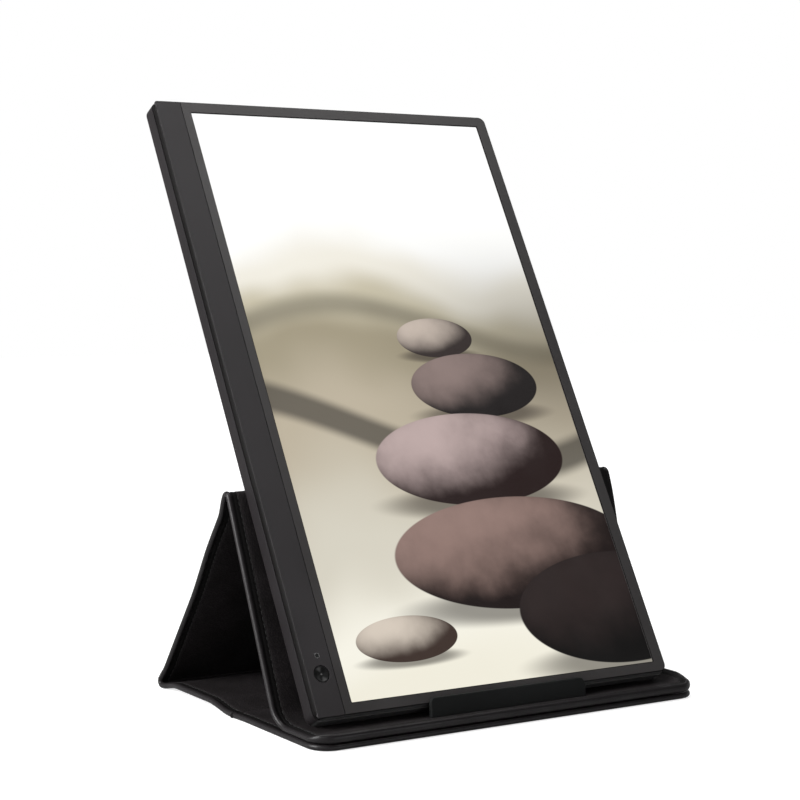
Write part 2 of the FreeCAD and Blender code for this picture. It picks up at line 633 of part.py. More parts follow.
def build_boards():
    """Timing board along the chin, main board behind the panel, their chips and the ribbon."""
    parts["timing_board"] = box(*TIMING_X, *TIMING_U, *TIMING_N)
    wide, half, side = TIMING_CHIP
    x = TIMING_X[0] + side
    chips = []
    for i in range(TIMING_CHIPS):
        u = TIMING_U[0] + (TIMING_U[1] - TIMING_U[0]) * (i + 0.5) / TIMING_CHIPS
        chips.append(box(x, x + wide, u - half, u + half, TIMING_N[0] - CHIP_T[0], TIMING_N[0]))
    parts["timing_chips"] = group(chips)

    board = box(*BOARD_X, *BOARD_U, *BOARD_N)
    for x, u in board_corners():
        board = board.cut(rod(x, u, BOARD_N[0] - OVERRUN, BOARD_N[1] + OVERRUN, SCREW_R + SCREW_CLEAR))
    parts["main_board"] = board
    chips = []
    for dx, du, wide, high in BOARD_CHIPS:
        x, u = BOARD_X[0] + dx, BOARD_U[0] + du
        chips.append(box(x, x + wide, u, u + high, BOARD_N[0] - CHIP_T[1], BOARD_N[0]))
    parts["main_board_chips"] = group(chips)
    screws = []
    for x, u in board_corners():
        head = rod(x, u, BOARD_N[1], BOARD_N[1] + SCREW_HEAD_T, SCREW_R * 2)
        screws.append(head.fuse(rod(x, u, FLOOR_N + SCREW_END, BOARD_N[1], SCREW_R - PARTING_GAP)))
    parts["board_screws"] = group(screws)

    build_ribbon()


def build_ribbon():
    """Flat cable: along the timing board's back, round a half turn, and onto the main board."""
    turn_x = TIMING_X[0] + RIBBON_TURN
    front_x, back_x = TIMING_X[1] - RIBBON_END, turn_x + RIBBON_TAIL
    front_n, back_n = TIMING_N[0], BOARD_N[1]
    turn_r, turn_n = (front_n - back_n) / 2, (front_n + back_n) / 2
    u0, u1 = RIBBON_U

    def face_of(inset):
        """One face of the cable, seen edge on: its first and last point, and its edges."""
        first, turn_start = V(front_x, u0, front_n - inset), V(turn_x, u0, front_n - inset)
        turn_middle = V(turn_x - turn_r + inset, u0, turn_n)
        turn_end, last = V(turn_x, u0, back_n + inset), V(back_x, u0, back_n + inset)
        turn = Part.Arc(turn_start, turn_middle, turn_end).toShape()
        return first, last, [Part.makeLine(first, turn_start), turn, Part.makeLine(turn_end, last)]

    outer_first, outer_last, outer = face_of(0)
    inner_first, inner_last, inner = face_of(RIBBON_T)
    ends = [Part.makeLine(outer_last, inner_last), Part.makeLine(inner_first, outer_first)]
    section = Part.Wire(Part.__sortEdges__(outer + inner + ends))
    parts["display_ribbon"] = Part.Face(section).extrude(V(0, u1 - u0, 0))


def build_socket():
    """USB-C receptacle at the upper end: drawn steel shell and the contact tongue in it."""
    mouth = MON_H - SOCKET_SETBACK
    back = mouth - SOCKET_L
    shell = socket_block(back, mouth, 0)
    parts["usb_c_shell"] = shell.cut(socket_block(back + SOCKET_BACK_T, mouth + OVERRUN, -SOCKET_WALL))
    half = TONGUE_W / 2
    thin = TONGUE_T / 2
    u0, u1 = back + SOCKET_BACK_T, mouth - TONGUE_SETBACK
    tongue = box(SOCKET_X - half, SOCKET_X + half, u0, u1, SOCKET_N - thin, SOCKET_N + thin)
    parts["usb_c_tongue"] = tongue


def build_monitor():
    before = set(parts)
    build_rear_housing()
    build_front_frame()
    build_chin_cover()
    build_button()
    build_panel()
    build_boards()
    build_socket()
    for node in set(parts) - before:
        parts[node] = on_monitor(parts[node])


build_cover()
build_monitor()

os.makedirs("parts", exist_ok=True)
for node in sorted(parts):
    shape = parts[node]
    print(f"{node:22s} valid {shape.isValid()} solids {len(shape.Solids):2d} volume {shape.Volume:9.1f}")
    shape.exportStep(f"parts/{node}.step")
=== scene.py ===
"""Looks of a portable monitor that stands upright on its folded leatherette cover.

Sizes are in millimetres up to the point where a mesh is made, and the same as the solids'.
The cover is a chain of panels and folds: base rear, rear fold, leg, apex fold, backrest, lower
fold, flap. Each is one skin swept along its own path, with a rolled bead along its free sides.
"""

from contextlib import contextmanager
import json
import math

import bmesh
import bpy
from mathutils import Matrix, Vector, noise


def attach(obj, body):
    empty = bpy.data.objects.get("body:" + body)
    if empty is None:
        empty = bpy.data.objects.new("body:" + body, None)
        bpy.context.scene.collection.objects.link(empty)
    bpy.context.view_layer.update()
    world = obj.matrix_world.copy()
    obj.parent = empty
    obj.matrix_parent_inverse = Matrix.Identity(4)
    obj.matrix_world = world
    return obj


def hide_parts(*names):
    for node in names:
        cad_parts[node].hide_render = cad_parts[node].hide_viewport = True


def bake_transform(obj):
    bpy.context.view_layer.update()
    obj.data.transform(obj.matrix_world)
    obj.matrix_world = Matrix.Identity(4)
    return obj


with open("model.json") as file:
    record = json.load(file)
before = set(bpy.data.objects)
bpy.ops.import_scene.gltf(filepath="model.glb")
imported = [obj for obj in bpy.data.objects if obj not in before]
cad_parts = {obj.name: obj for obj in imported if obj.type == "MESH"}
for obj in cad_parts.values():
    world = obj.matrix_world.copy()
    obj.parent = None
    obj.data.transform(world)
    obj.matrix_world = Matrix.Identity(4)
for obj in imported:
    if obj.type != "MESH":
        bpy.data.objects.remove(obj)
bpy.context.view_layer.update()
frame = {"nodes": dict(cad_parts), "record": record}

# ---- sizes -----------------------------------------------------------------------------------
MM = 0.001
MON_W, MON_H, MON_X, MON_CORNER = 224.0, 358.8, -0.75, 5.0
LEAN = 30.3
MON_FRONT_Z = 12.4                     # the lower end of the monitor's face above the table
SCREEN_W, SCREEN_H = 193.59, 344.16
CHIN, BEZEL_LOW, CHIN_SEAM = 22.0, 6.8, 5.5
FRAME_T, FRAME_STEP, FRAME_LIP_T, FRAME_RIM = 3.5, 0.4, 0.6, 2.7
BEVEL, PARTING = 0.6, 0.6
CHIN_T, CHIN_MARGIN, CHIN_CORNER, CHIN_GROOVE = 1.25, 0.1, 1.2, 0.24
LEDGE_T = 0.8                          # the frame's ledge under the chin cover
BUTTON_R, BUTTON_U, BUTTON_CLEAR, BUTTON_OFF = 4.25, 23.1, 0.25, 0.7
BUTTON_TOP, FLANGE_TOP, FLANGE_BACK, STEM_BACK = -0.15, -1.5, -2.1, -2.6
FLANGE_OVER, FLANGE_CLEAR, STEM_R = 0.7, 0.5, 1.5
DISH_RIM, DISH_FALL, DISH_DEPTH = 0.5, 0.05, 0.4
LED_R, LED_U, LED_CLEAR = 1.3, 32.7, 0.05
RING_IN, RING_PROUD, RING_HALF_W, RING_HALF_T = 0.04, 0.01, 0.075, 0.03
OPENING_CORNER, RIM_CORNER = 0.5, 1.0
OVERLAP, POLE_R = 0.02, 0.02           # a cutter's reach past a face, and a closed end's hole

COVER_W = 241.4
PLATE_T, WELT_R = 2.8, 1.6
SEAM_INSET, STITCH_SINK, STITCH_PROUD = 5.6, 0.30, 0.10
CREASE_GAP = 2.5                       # the base seams start this far past the crease
BOARD_INSET, BOARD_END, BOARD_T = SEAM_INSET + 1.2, 1.0, 1.5
CORNER_R = 12.0
FRONT_Y = -14.4
CREASE_Y, CREASE_HALF = 72.0, 1.9
REAR_FOLD = (157.0, 1.6)
APEX_FOLD = (76.45, 116.9)
BACKREST_ANGLE = 66.2
FOLD_R, BEND_R = 2.2, 15.0
LAYER_GAP = 0.3
FLARE_DEPTH, BEAD_DEPTH = 12.5, 3.5    # the sides are pushed out between these depths
RIDGE_EAR, EAR_FADE = 4.6, 55.0        # the ridge's right end stands out, and for how far
FOLD_FLARE, CREASE_FLARE, APEX_FLARE, LOW_FLARE = 1.0, 0.6, 2.0, 1.0
CREASE_FADE, FRONT_FADE, FOLD_FADE = 14, 10, 9    # over these lengths a flare dies out
APEX_REACH, APEX_FADE = 73, 45                    # the apex flare grows along the leg
REAR_ARCH, ARCH_START, ARCH_RISE, ARCH_FALL = 2.4, 4, 22, 16
RIDGE_FULL, RIDGE_WAVE, WAVE_RATE, WAVE_SEED = 0.8, 0.5, 0.11, 4.0
KNEE, KNEE_REACH = 2.0, 13.0
NICK, NICK_BACK, NICK_HALF = 2.2, 0.6, 0.8        # where the two beads of the base meet
FRONT_SWELL, SWELL_START, SWELL_RISE = 1.5, 31, 7    # the flap is thicker along its front
EDGE_RISE, EDGE_X, EDGE_WIDE = 4.2, 111, 7        # its right edge curls up
EDGE_END, EDGE_FADE = 41.5, 19                    # towards the lower fold
SWELL_SIZE, SWELL_RATE = 0.12, 0.045              # the leather's slow unevenness
LIP_W, LIP_X, LIP_H = 98.6, 1.9, 9.6
LIP_T, LIP_TOP_T, LIP_LEAN, LIP_CORNER, LIP_CLEAR, LIP_SINK = 3.0, 1.8, 1.0, 3.0, 0.4, 0.1

SHARP, SHARP_ROUND, SHARP_SKIN = 40.0, 50.0, 70.0    # an edge is sharp past this angle
COLUMNS, BEAD_STEPS = 90, 14           # steps across the cover, and round its rolled bead
BEAD_TURN = 138                        # degrees that the bead turns on either side of its rim

ORIGIN_Y = 88.229                      # the frame's origin, along the source's own Y
HALF_W = COVER_W / 2
FLAP_Z = 3 * WELT_R + LAYER_GAP
SIN_L, COS_L = math.sin(math.radians(LEAN)), math.cos(math.radians(LEAN))
LEFT, RIGHT = MON_X - MON_W / 2, MON_X + MON_W / 2
SCREEN_X0, SCREEN_X1 = LEFT + CHIN, LEFT + CHIN + SCREEN_W
SCREEN_U0, SCREEN_U1 = BEZEL_LOW, BEZEL_LOW + SCREEN_H
CHIN_END = FRAME_STEP + BEVEL + CHIN_MARGIN
CHIN_X0, CHIN_X1 = LEFT + CHIN_END, SCREEN_X0 - CHIN_SEAM
BUTTON_X = (CHIN_X0 + CHIN_X1) / 2 + BUTTON_OFF

LEG_ANGLE = math.degrees(math.atan2(APEX_FOLD[1] - REAR_FOLD[1], REAR_FOLD[0] - APEX_FOLD[0]))
BACKREST_LENGTH = (APEX_FOLD[1] - FLAP_Z) / math.sin(math.radians(BACKREST_ANGLE))
LOW_FOLD = (APEX_FOLD[0] - BACKREST_LENGTH * math.cos(math.radians(BACKREST_ANGLE)), FLAP_Z)


def setback(radius, inner_angle):
    """Distance from a fold's vertex to the end of its round stretch."""
    return radius / math.tan(math.radians(inner_angle / 2))


REAR_SET = setback(FOLD_R, LEG_ANGLE)
APEX_SET = setback(FOLD_R, 180 - LEG_ANGLE - BACKREST_ANGLE)
LOW_SET = setback(BEND_R, 180 - BACKREST_ANGLE)
LEG_HEADING = 180 - LEG_ANGLE
BACKREST_HEADING = 180 + BACKREST_ANGLE
FLAP_HEADING = 180.0


# ---- shader helpers --------------------------------------------------------------------------
def feed(tree, node, values):
    """Each named or numbered input is set, or linked where its value is another node's output."""
    for key, value in values.items():
        if isinstance(value, bpy.types.NodeSocket):
            tree.links.new(value, node.inputs[key])
        else:
            node.inputs[key].default_value = value


def add(tree, kind, values=None, **settings):
    """One new node, with its settings and its inputs."""
    made = tree.nodes.new(kind)
    for key, value in settings.items():
        setattr(made, key, value)
    feed(tree, made, values or {})
    return made


def calc(tree, operation, *values, clamp=False):
    numbered = dict(enumerate(values))
    return add(tree, "ShaderNodeMath", numbered, operation=operation, use_clamp=clamp).outputs[0]


def times(tree, first, second):
    return calc(tree, "MULTIPLY", first, second)


def object_place(tree):
    return add(tree, "ShaderNodeTexCoord").outputs["Object"]


def noise_at(tree, place, scale, detail=2.0, **settings):
    """Noise from 0 to 1 at each place."""
    values = {"Vector": place, "Scale": scale, "Detail": detail}
    return add(tree, "ShaderNodeTexNoise", values, **settings).outputs["Fac"]


def bumped(tree, height, distance, strength=1.0):
    values = {"Height": height, "Distance": distance, "Strength": strength}
    return add(tree, "ShaderNodeBump", values).outputs["Normal"]


def blend_colour(tree, factor, first, second):
    values = {0: factor, 6: first, 7: second}
    return add(tree, "ShaderNodeMix", values, data_type="RGBA").outputs[2]


def between(tree, value, low, high, out_low=0.0, out_high=1.0):
    """Smooth step of a value from low to high."""
    values = {0: value, 1: low, 2: high, 3: out_low, 4: out_high}
    return add(tree, "ShaderNodeMapRange", values, interpolation_type="SMOOTHSTEP").outputs[0]


def effect(name, inputs, outputs):
    """Empty shader node group with named number inputs and outputs."""
    tree = bpy.data.node_groups.new(name, "ShaderNodeTree")
    for label, value in inputs.items():
        socket = tree.interface.new_socket(label, in_out="INPUT", socket_type="NodeSocketFloat")
        socket.default_value = value
    for label in outputs:
        tree.interface.new_socket(label, in_out="OUTPUT", socket_type="NodeSocketFloat")
    return tree, tree.nodes.new("NodeGroupInput"), tree.nodes.new("NodeGroupOutput")


def grey(level):
    """Linear colour of an sRGB level from 0 to 255."""
    part = level / 255
    value = part / 12.92 if part <= 0.04045 else ((part + 0.055) / 1.055) ** 2.4
    return (value, value, value, 1.0)


def tint(red, green, blue):
    return tuple(grey(level)[0] for level in (red, green, blue)) + (1.0,)


# ---- shared effects --------------------------------------------------------------------------
def make_leather_grain():
    """Pebbled leatherette: cells with rounded tops, fine wrinkles between them, slow swell."""
    tree, given, result = effect(
        "leather_grain", {"Cell Size": 0.0009, "Swell": 0.25}, ("Height", "Valley", "Cloud")
    )
    place = object_place(tree)
    rate = calc(tree, "DIVIDE", 1.0, given.outputs["Cell Size"])
    cells = add(tree, "ShaderNodeTexVoronoi",
                {"Vector": place, "Scale": rate, "Smoothness": 0.35}, feature="SMOOTH_F1")
    pebble = between(tree, cells.outputs["Distance"], 0.05, 0.75, 1.0, 0.0)
    fine = noise_at(tree, place, times(tree, rate, 2.2))
    cloud = between(tree, noise_at(tree, place, 55.0), 0.3, 0.7)
    height = calc(tree, "MULTIPLY_ADD", fine, 0.45, pebble)
    height = calc(tree, "MULTIPLY_ADD", cloud, given.outputs["Swell"], height)
    valley = calc(tree, "SUBTRACT", 1.0, pebble)
    feed(tree, result, {"Height": height, "Valley": valley, "Cloud": cloud})
    return tree


def make_fine_speckle():
    """Spark-eroded mould texture of plastics: a fine height, and slow patches of handling."""
    tree, given, result = effect(
        "fine_speckle", {"Grain Size": 0.0004, "Patch Size": 0.05}, ("Height", "Patch")
    )
    place = object_place(tree)
    grain_rate = calc(tree, "DIVIDE", 1.0, given.outputs["Grain Size"])
    patch_rate = calc(tree, "DIVIDE", 1.0, given.outputs["Patch Size"])
    patch = between(tree, noise_at(tree, place, patch_rate, 3.0), 0.35, 0.65)
    feed(tree, result, {"Height": noise_at(tree, place, grain_rate, 1.5), "Patch": patch})
    return tree


LEATHER_GRAIN = make_leather_grain()
FINE_SPECKLE = make_fine_speckle()


def use_effect(tree, group, **values):
    made = tree.nodes.new("ShaderNodeGroup")
    made.node_tree = group
    for label, value in values.items():
        made.inputs[label.replace("_", " ")].default_value = value
    return made


def new_material(name):
    made = bpy.data.materials.new(name)
    made.use_nodes = True
    tree = made.node_tree
    return made, tree, tree.nodes["Principled BSDF"]


# ---- materials -------------------------------------------------------------------------------
def make_leatherette():
    """Black leatherette: the attribute 'tone' marks the gutter inside the bead and the bead; both
    are painted darker as shade, and the bead also has a burnished coat.
    """
    made, tree, shader = new_material("leatherette")
    grain = use_effect(tree, LEATHER_GRAIN, Cell_Size=0.00085, Swell=0.12)
    cloud = grain.outputs["Cloud"]
    tone = add(tree, "ShaderNodeAttribute", attribute_name="tone").outputs["Fac"]
    bead = between(tree, tone, 0.6, 0.9)
    gutter = calc(tree, "SUBTRACT", between(tree, tone, 0.05, 0.45), bead)
    valley = times(tree, grain.outputs["Valley"], 0.7)
    base = blend_colour(tree, cloud, tint(27, 25, 25), tint(37, 34, 35))
    # Painted shade: the gutter and the bead are darkened in the colour.
    for share, colour in ((valley, tint(17, 15, 16)), (gutter, tint(13, 12, 12)),
                          (bead, tint(19, 17, 18))):
        base = blend_colour(tree, share, base, colour)
    rough = between(tree, cloud, 0.0, 1.0, 0.57, 0.60)
    burnish = between(tree, cloud, 0.0, 1.0, 0.15, 0.24)
    feed(tree, shader, {
        "Base Color": base, "Roughness": calc(tree, "MULTIPLY_ADD", bead, -0.08, rough),
        "Specular IOR Level": 0.07, "Coat Weight": times(tree, bead, burnish),
        "Coat Roughness": 0.25, "Normal": bumped(tree, grain.outputs["Height"], 0.00010, 0.6),
    })
    return made


def make_thread():
    """Bonded polyester thread: a two-ply twist and a little dust in it."""
    made, tree, shader = new_material("thread")
    values = {"Vector": object_place(tree), "Scale": 420.0, "Distortion": 1.0}
    ply = add(tree, "ShaderNodeTexWave", values, bands_direction="DIAGONAL").outputs["Fac"]
    feed(tree, shader, {
        "Base Color": blend_colour(tree, ply, grey(24), grey(32)), "Roughness": 0.7,
        "Specular IOR Level": 0.15, "Normal": bumped(tree, ply, 0.00005),
    })
    return made


def monitor_axis(tree, axis, offset):
    """Distance along one axis of the monitor, in metres, from object coordinates."""
    values = {0: object_place(tree), 1: axis}
    dot = add(tree, "ShaderNodeVectorMath", values, operation="DOT_PRODUCT")
    return calc(tree, "SUBTRACT", dot.outputs["Value"], offset)


ACROSS_AXIS = (1.0, 0.0, 0.0)
UP_AXIS = (0.0, SIN_L, COS_L)


def along_up(u):
    """What monitor_axis takes off to give 0 at the height u of the monitor."""
    return (u + MON_FRONT_Z * COS_L - ORIGIN_Y * SIN_L) * MM


def make_plastic(name, dark, light, rough, specular, low_end_painted_light=None, grain_size=0.0004,
                 depth=0.00002):
    """Moulded black plastic between two greys, with its mould texture and handling patches.

    A paler colour given after the specular level is painted light on the monitor's lower end, where
    it stands on the flap, for light thrown up from the floor in front.
    """
    made, tree, shader = new_material(name)
    speckle = use_effect(tree, FINE_SPECKLE, Grain_Size=grain_size, Patch_Size=0.06)
    base = blend_colour(tree, speckle.outputs["Patch"], dark, light)
    base = blend_colour(tree, times(tree, speckle.outputs["Height"], 0.25), base, dark)
    if low_end_painted_light:
        # Painted light: the monitor's lower end is blended to the paler colour.
        height = monitor_axis(tree, UP_AXIS, along_up(0.0))
        low_end = between(tree, height, 0.0005, 0.0011, 1.0, 0.0)
        base = blend_colour(tree, low_end, base, low_end_painted_light)
    feed(tree, shader, {
        "Base Color": base, "Specular IOR Level": specular,
        "Roughness": between(tree, speckle.outputs["Patch"], 0.0, 1.0, *rough),
        "Normal": bumped(tree, speckle.outputs["Height"], depth, 0.4),
    })
    return made


def make_button_finish():
    """Dished cap turned on a lathe: fine rings, and two pale lobes painted in its colour as the
    highlight that such rings show.
    """
    made, tree, shader = new_material("button_plastic")
    x = calc(tree, "SUBTRACT", monitor_axis(tree, ACROSS_AXIS, 0.0), BUTTON_X * MM)
    u = monitor_axis(tree, UP_AXIS, along_up(BUTTON_U))
    radius = calc(tree, "SQRT", calc(tree, "ADD", times(tree, x, x), times(tree, u, u)))
    rings = calc(tree, "SINE", times(tree, radius, 2 * math.pi / 0.0008))
    base = blend_colour(tree, calc(tree, "MULTIPLY_ADD", rings, 0.3, 0.5), grey(8), grey(14))
    # Painted highlight: two pale lobes on opposite sides of the cap's middle.
    along = calc(tree, "ADD", times(tree, x, -0.30), times(tree, u, 0.95))
    painted_lobe_highlight = calc(tree, "ABSOLUTE", calc(tree, "DIVIDE", along, calc(tree, "ADD", radius, 0.0002)))
    painted_lobe_highlight = times(tree, between(tree, painted_lobe_highlight, 0.78, 1.0), between(tree, radius, 0.0043, 0.0030))
    base = blend_colour(tree, painted_lobe_highlight, base, grey(62))
    base = blend_colour(tree, between(tree, radius, 0.0003, 0.0006, 0.8, 0.0), base, grey(90))
    speckle = use_effect(tree, FINE_SPECKLE, Grain_Size=0.0006, Patch_Size=0.006)
    up, across = (
        add(tree, "ShaderNodeVectorMath", {0: axis, "Scale": size}, operation="SCALE").outputs[0]
        for axis, size in ((UP_AXIS, times(tree, x, -1.0)), (ACROSS_AXIS, u)))
    round_about = add(tree, "ShaderNodeVectorMath", {0: up, 1: across}).outputs[0]
    feed(tree, shader, {
        "Base Color": base, "Specular IOR Level": 0.12, "Anisotropic": 0.85,
        "Roughness": between(tree, speckle.outputs["Patch"], 0.0, 1.0, 0.34, 0.42),
        "Tangent": round_about,
    })
    return made


# How far up the screen, and the colour there.
SKY = (
    (0.00, tint(240, 236, 220)), (0.10, tint(246, 243, 230)), (0.22, tint(214, 209, 194)),
    (0.42, tint(188, 177, 156)), (0.55, tint(160, 150, 126)), (0.62, tint(198, 190, 166)),
    (0.69, tint(238, 234, 222)), (0.77, tint(254, 254, 252)), (1.00, tint(255, 255, 255)),
)
# A sweeping line's level, height, rate and phase, then its half width, softness, strength, colour.
SWEEPS = (
    ((0.60, 0.05, 4.2, 0.4), 0.018, 0.016, 0.55, tint(92, 86, 70)),
    ((0.43, 0.08, 3.2, 2.3), 0.026, 0.012, 0.80, tint(60, 56, 50)),
)
# A pebble's middle and half size, across and up the screen, then its dark and its lit colour.
PEBBLES = (
    ((0.60, 0.585), (0.13, 0.036), tint(44, 34, 32), tint(196, 182, 170)),
    ((0.69, 0.497), (0.22, 0.058), tint(22, 16, 16), tint(140, 122, 117)),
    ((0.60, 0.368), (0.32, 0.080), tint(34, 19, 18), tint(188, 168, 165)),
    ((0.66, 0.205), (0.41, 0.094), tint(24, 13, 12), tint(148, 123, 115)),
    ((0.95, 0.098), (0.35, 0.094), tint(6, 4, 4), tint(44, 34, 33)),
    ((0.22, 0.085), (0.16, 0.036), tint(60, 46, 40), tint(214, 202, 188)),
)


def make_screen():
    """Lit screen: pale haze with soft sweeping bands, and a stack of smooth pebbles before it."""
    made, tree, shader = new_material("screen_glass")
    across = calc(tree, "SUBTRACT", monitor_axis(tree, ACROSS_AXIS, 0.0), SCREEN_X0 * MM)
    s = calc(tree, "DIVIDE", across, SCREEN_W * MM)
    t = calc(tree, "DIVIDE", monitor_axis(tree, UP_AXIS, along_up(SCREEN_U0)), SCREEN_H * MM)
    spot = add(tree, "ShaderNodeCombineXYZ", {0: s, 1: times(tree, t, 1.78)}).outputs[0]
    haze = noise_at(tree, spot, 1.6, noise_dimensions="2D")
    veins = noise_at(tree, spot, 9.0, 6.0, noise_dimensions="2D")

    def band(line, half, soft):
        """1 beside a line that crosses the screen at the given height, and 0 away from it."""
        gap = calc(tree, "ABSOLUTE", calc(tree, "SUBTRACT", t, line))
        return between(tree, gap, half - soft, half + soft, 1.0, 0.0)

    def off(value, middle, half):
        return calc(tree, "DIVIDE", calc(tree, "SUBTRACT", value, middle), half)

    def pebble(picture, place, half, dark, light):
        """The picture with one smooth pebble, lit from the upper left, over its soft shadow."""
        side, rise = off(s, place[0], half[0]), off(t, place[1], half[1])
        square = calc(tree, "MULTIPLY_ADD", side, side, times(tree, rise, rise))
        fall = off(t, place[1] - half[1] * 0.9, half[1] * 0.34)
        drop = calc(tree, "MULTIPLY_ADD", fall, fall, times(tree, side, side))
        shadow = between(tree, drop, 0.3, 1.5, 0.7, 0.0)
        picture = blend_colour(tree, shadow, picture, tint(44, 34, 30))
        out = calc(tree, "SQRT", calc(tree, "SUBTRACT", 1.0, square, clamp=True))
        lit = calc(tree, "MULTIPLY_ADD", rise, 0.55, times(tree, out, 0.55))
        lit = calc(tree, "MULTIPLY_ADD", side, -0.46, lit)
        lit = calc(tree, "MULTIPLY_ADD", calc(tree, "SUBTRACT", veins, 0.5), 0.5, lit)
        colour = blend_colour(tree, between(tree, lit, -0.05, 1.0), dark, light)
        return blend_colour(tree, between(tree, square, 0.975, 1.01, 1.0, 0.0), picture, colour)

    drift = calc(tree, "SUBTRACT", haze, 0.5)
    sky = add(tree, "ShaderNodeValToRGB", {"Fac": calc(tree, "MULTIPLY_ADD", drift, 0.22, t)})
    ramp = sky.color_ramp
    ramp.interpolation = "EASE"
    ramp.elements[0].position, ramp.elements[0].color = SKY[0]
    ramp.elements[1].position, ramp.elements[1].color = SKY[-1]
    for position, colour in SKY[1:-1]:
        ramp.elements.new(position).color = colour
    dusk = times(tree, between(tree, s, 0.25, 1.0), band(0.55, 0.14, 0.12))
    dusk = times(tree, dusk, 0.6)
    picture = blend_colour(tree, dusk, sky.outputs["Color"], tint(104, 97, 84))
    for (level, height, rate, phase), half, soft, strength, colour in SWEEPS:
        turn = calc(tree, "SINE", calc(tree, "MULTIPLY_ADD", s, rate, phase))
        line = calc(tree, "MULTIPLY_ADD", turn, height, level)
        share = times(tree, band(line, half, soft), strength)
        picture = blend_colour(tree, share, picture, colour)
    for place, half, dark, light in PEBBLES:
        picture = pebble(picture, place, half, dark, light)
    speckle = use_effect(tree, FINE_SPECKLE, Grain_Size=0.0002, Patch_Size=0.03)
    feed(tree, shader, {
        "Emission Color": picture, "Emission Strength": 1.0, "Base Color": grey(12),
        "Roughness": between(tree, speckle.outputs["Patch"], 0.0, 1.0, 0.38, 0.44),
        "Specular IOR Level": 0.2,
    })
    return made


def make_hidden(name, dark, light, rough, metal=0.0, size=0.004):
    """Finish of an inner piece: two close tones in soft patches."""
    made, tree, shader = new_material(name)
    speckle = use_effect(tree, FINE_SPECKLE, Grain_Size=size / 8, Patch_Size=size)
    feed(tree, shader, {
        "Base Color": blend_colour(tree, speckle.outputs["Patch"], dark, light),
        "Roughness": between(tree, speckle.outputs["Height"], 0.3, 0.7, rough, rough + 0.12),
        "Metallic": metal,
    })
    return made


def make_circuit_board():
    """Green-black solder mask over copper runs."""
    made, tree, shader = new_material("circuit_board")
    runs = add(tree, "ShaderNodeTexBrick", {
        "Vector": object_place(tree), "Scale": 220.0, "Color1": tint(14, 58, 40),
        "Color2": tint(10, 48, 34), "Mortar": tint(30, 92, 62)})
    feed(tree, shader, {"Base Color": runs.outputs["Color"], "Roughness": 0.38})
    return made


# Darker and lighter tone, roughness from and to, specular level, and then what differs.
PLASTICS = {
    "lip_rubber": (tint(18, 19, 19), tint(23, 24, 24), (0.55, 0.62), 0.06, None, 0.0005, 0.00003),
    # The paler grey that ends housing_plastic and frame_edge is painted light on the monitor's
    # lower end.
    "housing_plastic": (tint(23, 21, 22), tint(27, 25, 26), (0.48, 0.55), 0.05, grey(64)),
    "frame_plastic": (tint(40, 38, 38), tint(45, 43, 43), (0.42, 0.48), 0.24),
    # frame_edge is frame_plastic painted darker: painted shade on the frame's sides and bevel, and
    # on the softened step round the screen opening.
    "frame_edge": (tint(9, 8, 8), tint(13, 12, 12), (0.4, 0.5), 0.04, grey(70)),
    "chin_plastic": (tint(35, 33, 34), tint(39, 37, 38), (0.48, 0.54), 0.16),
    "indicator_print": (grey(96), grey(116), (0.5, 0.6), 0.3),
    "indicator_lens": (grey(20), grey(26), (0.2, 0.3), 0.3),
}
# Darker and lighter tone, roughness, how much of a metal it is, and the size of its patches.
HIDDEN = {
    "stiff_board": (tint(92, 84, 72), tint(120, 110, 94), 0.85),
    "magnet": (grey(120), grey(150), 0.3, 1.0),
    "film_white": (grey(226), grey(236), 0.5),
    "clear_acrylic": (grey(214), grey(226), 0.12),
    "tray_steel": (grey(140), grey(165), 0.32, 1.0),
    "lamp_white": (tint(238, 232, 190), tint(246, 242, 214), 0.4),
    "flex_amber": (tint(150, 84, 26), tint(176, 104, 36), 0.4),
    "foam_tape": (grey(24), grey(34), 0.9, 0.0, 0.001),
    "chip_black": (grey(22), grey(30), 0.55),
    "plated_steel": (grey(170), grey(196), 0.22, 1.0),
}
FINISH = {
    "leatherette": make_leatherette(), "thread": make_thread(), "screen_glass": make_screen(),
    "button_plastic": make_button_finish(), "circuit_board": make_circuit_board(),
    **{name: make_plastic(name, *values) for name, values in PLASTICS.items()},
    **{name: make_hidden(name, *values) for name, values in HIDDEN.items()},
}


# ---- mesh helpers ----------------------------------------------------------------------------
def to_world(points):
    return [Vector(p) * MM for p in points]


def on_monitor(x, u, n):
    """The monitor's own frame: x across, u along its long side, n out of its front face."""
    return Vector((x, u * SIN_L - n * COS_L - ORIGIN_Y, MON_FRONT_Z + u * COS_L + n * SIN_L))


def placed(name, data):
    """The mesh, lamp or camera as an object of the scene."""
    made = bpy.data.objects.new(name, data)
    bpy.context.scene.collection.objects.link(made)
    return made


@contextmanager
def reworked(mesh):
    work = bmesh.new()
    work.from_mesh(mesh)
    yield work
    work.to_mesh(mesh)
    work.free()


def piece_from(name, points, faces, finishes, sharp_angle=SHARP, tones=None, slots=None):
    """A mesh piece from points in millimetres, its doubles merged, its faces outwards."""
    mesh = bpy.data.meshes.new(name)
    mesh.from_pydata(to_world(points), [], faces)
    for finish in finishes:
        mesh.materials.append(FINISH[finish])
    if slots:
        mesh.polygons.foreach_set("material_index", slots)
    if tones:
        mesh.attributes.new("tone", "FLOAT", "POINT").data.foreach_set("value", tones)
    with reworked(mesh) as work:
        bmesh.ops.remove_doubles(work, verts=work.verts, dist=2e-6)
        bmesh.ops.recalc_face_normals(work, faces=work.faces)
    mark_sharp(mesh, sharp_angle)
    return placed(name, mesh)


def grid_faces(first, rows, columns):
    """Quads between neighbouring points of a grid, with columns + 1 points in a row."""
    across = columns + 1
    corners = [first + i * across + k for i in range(rows) for k in range(columns)]
    return [(a, a + 1, a + across + 1, a + across) for a in corners]


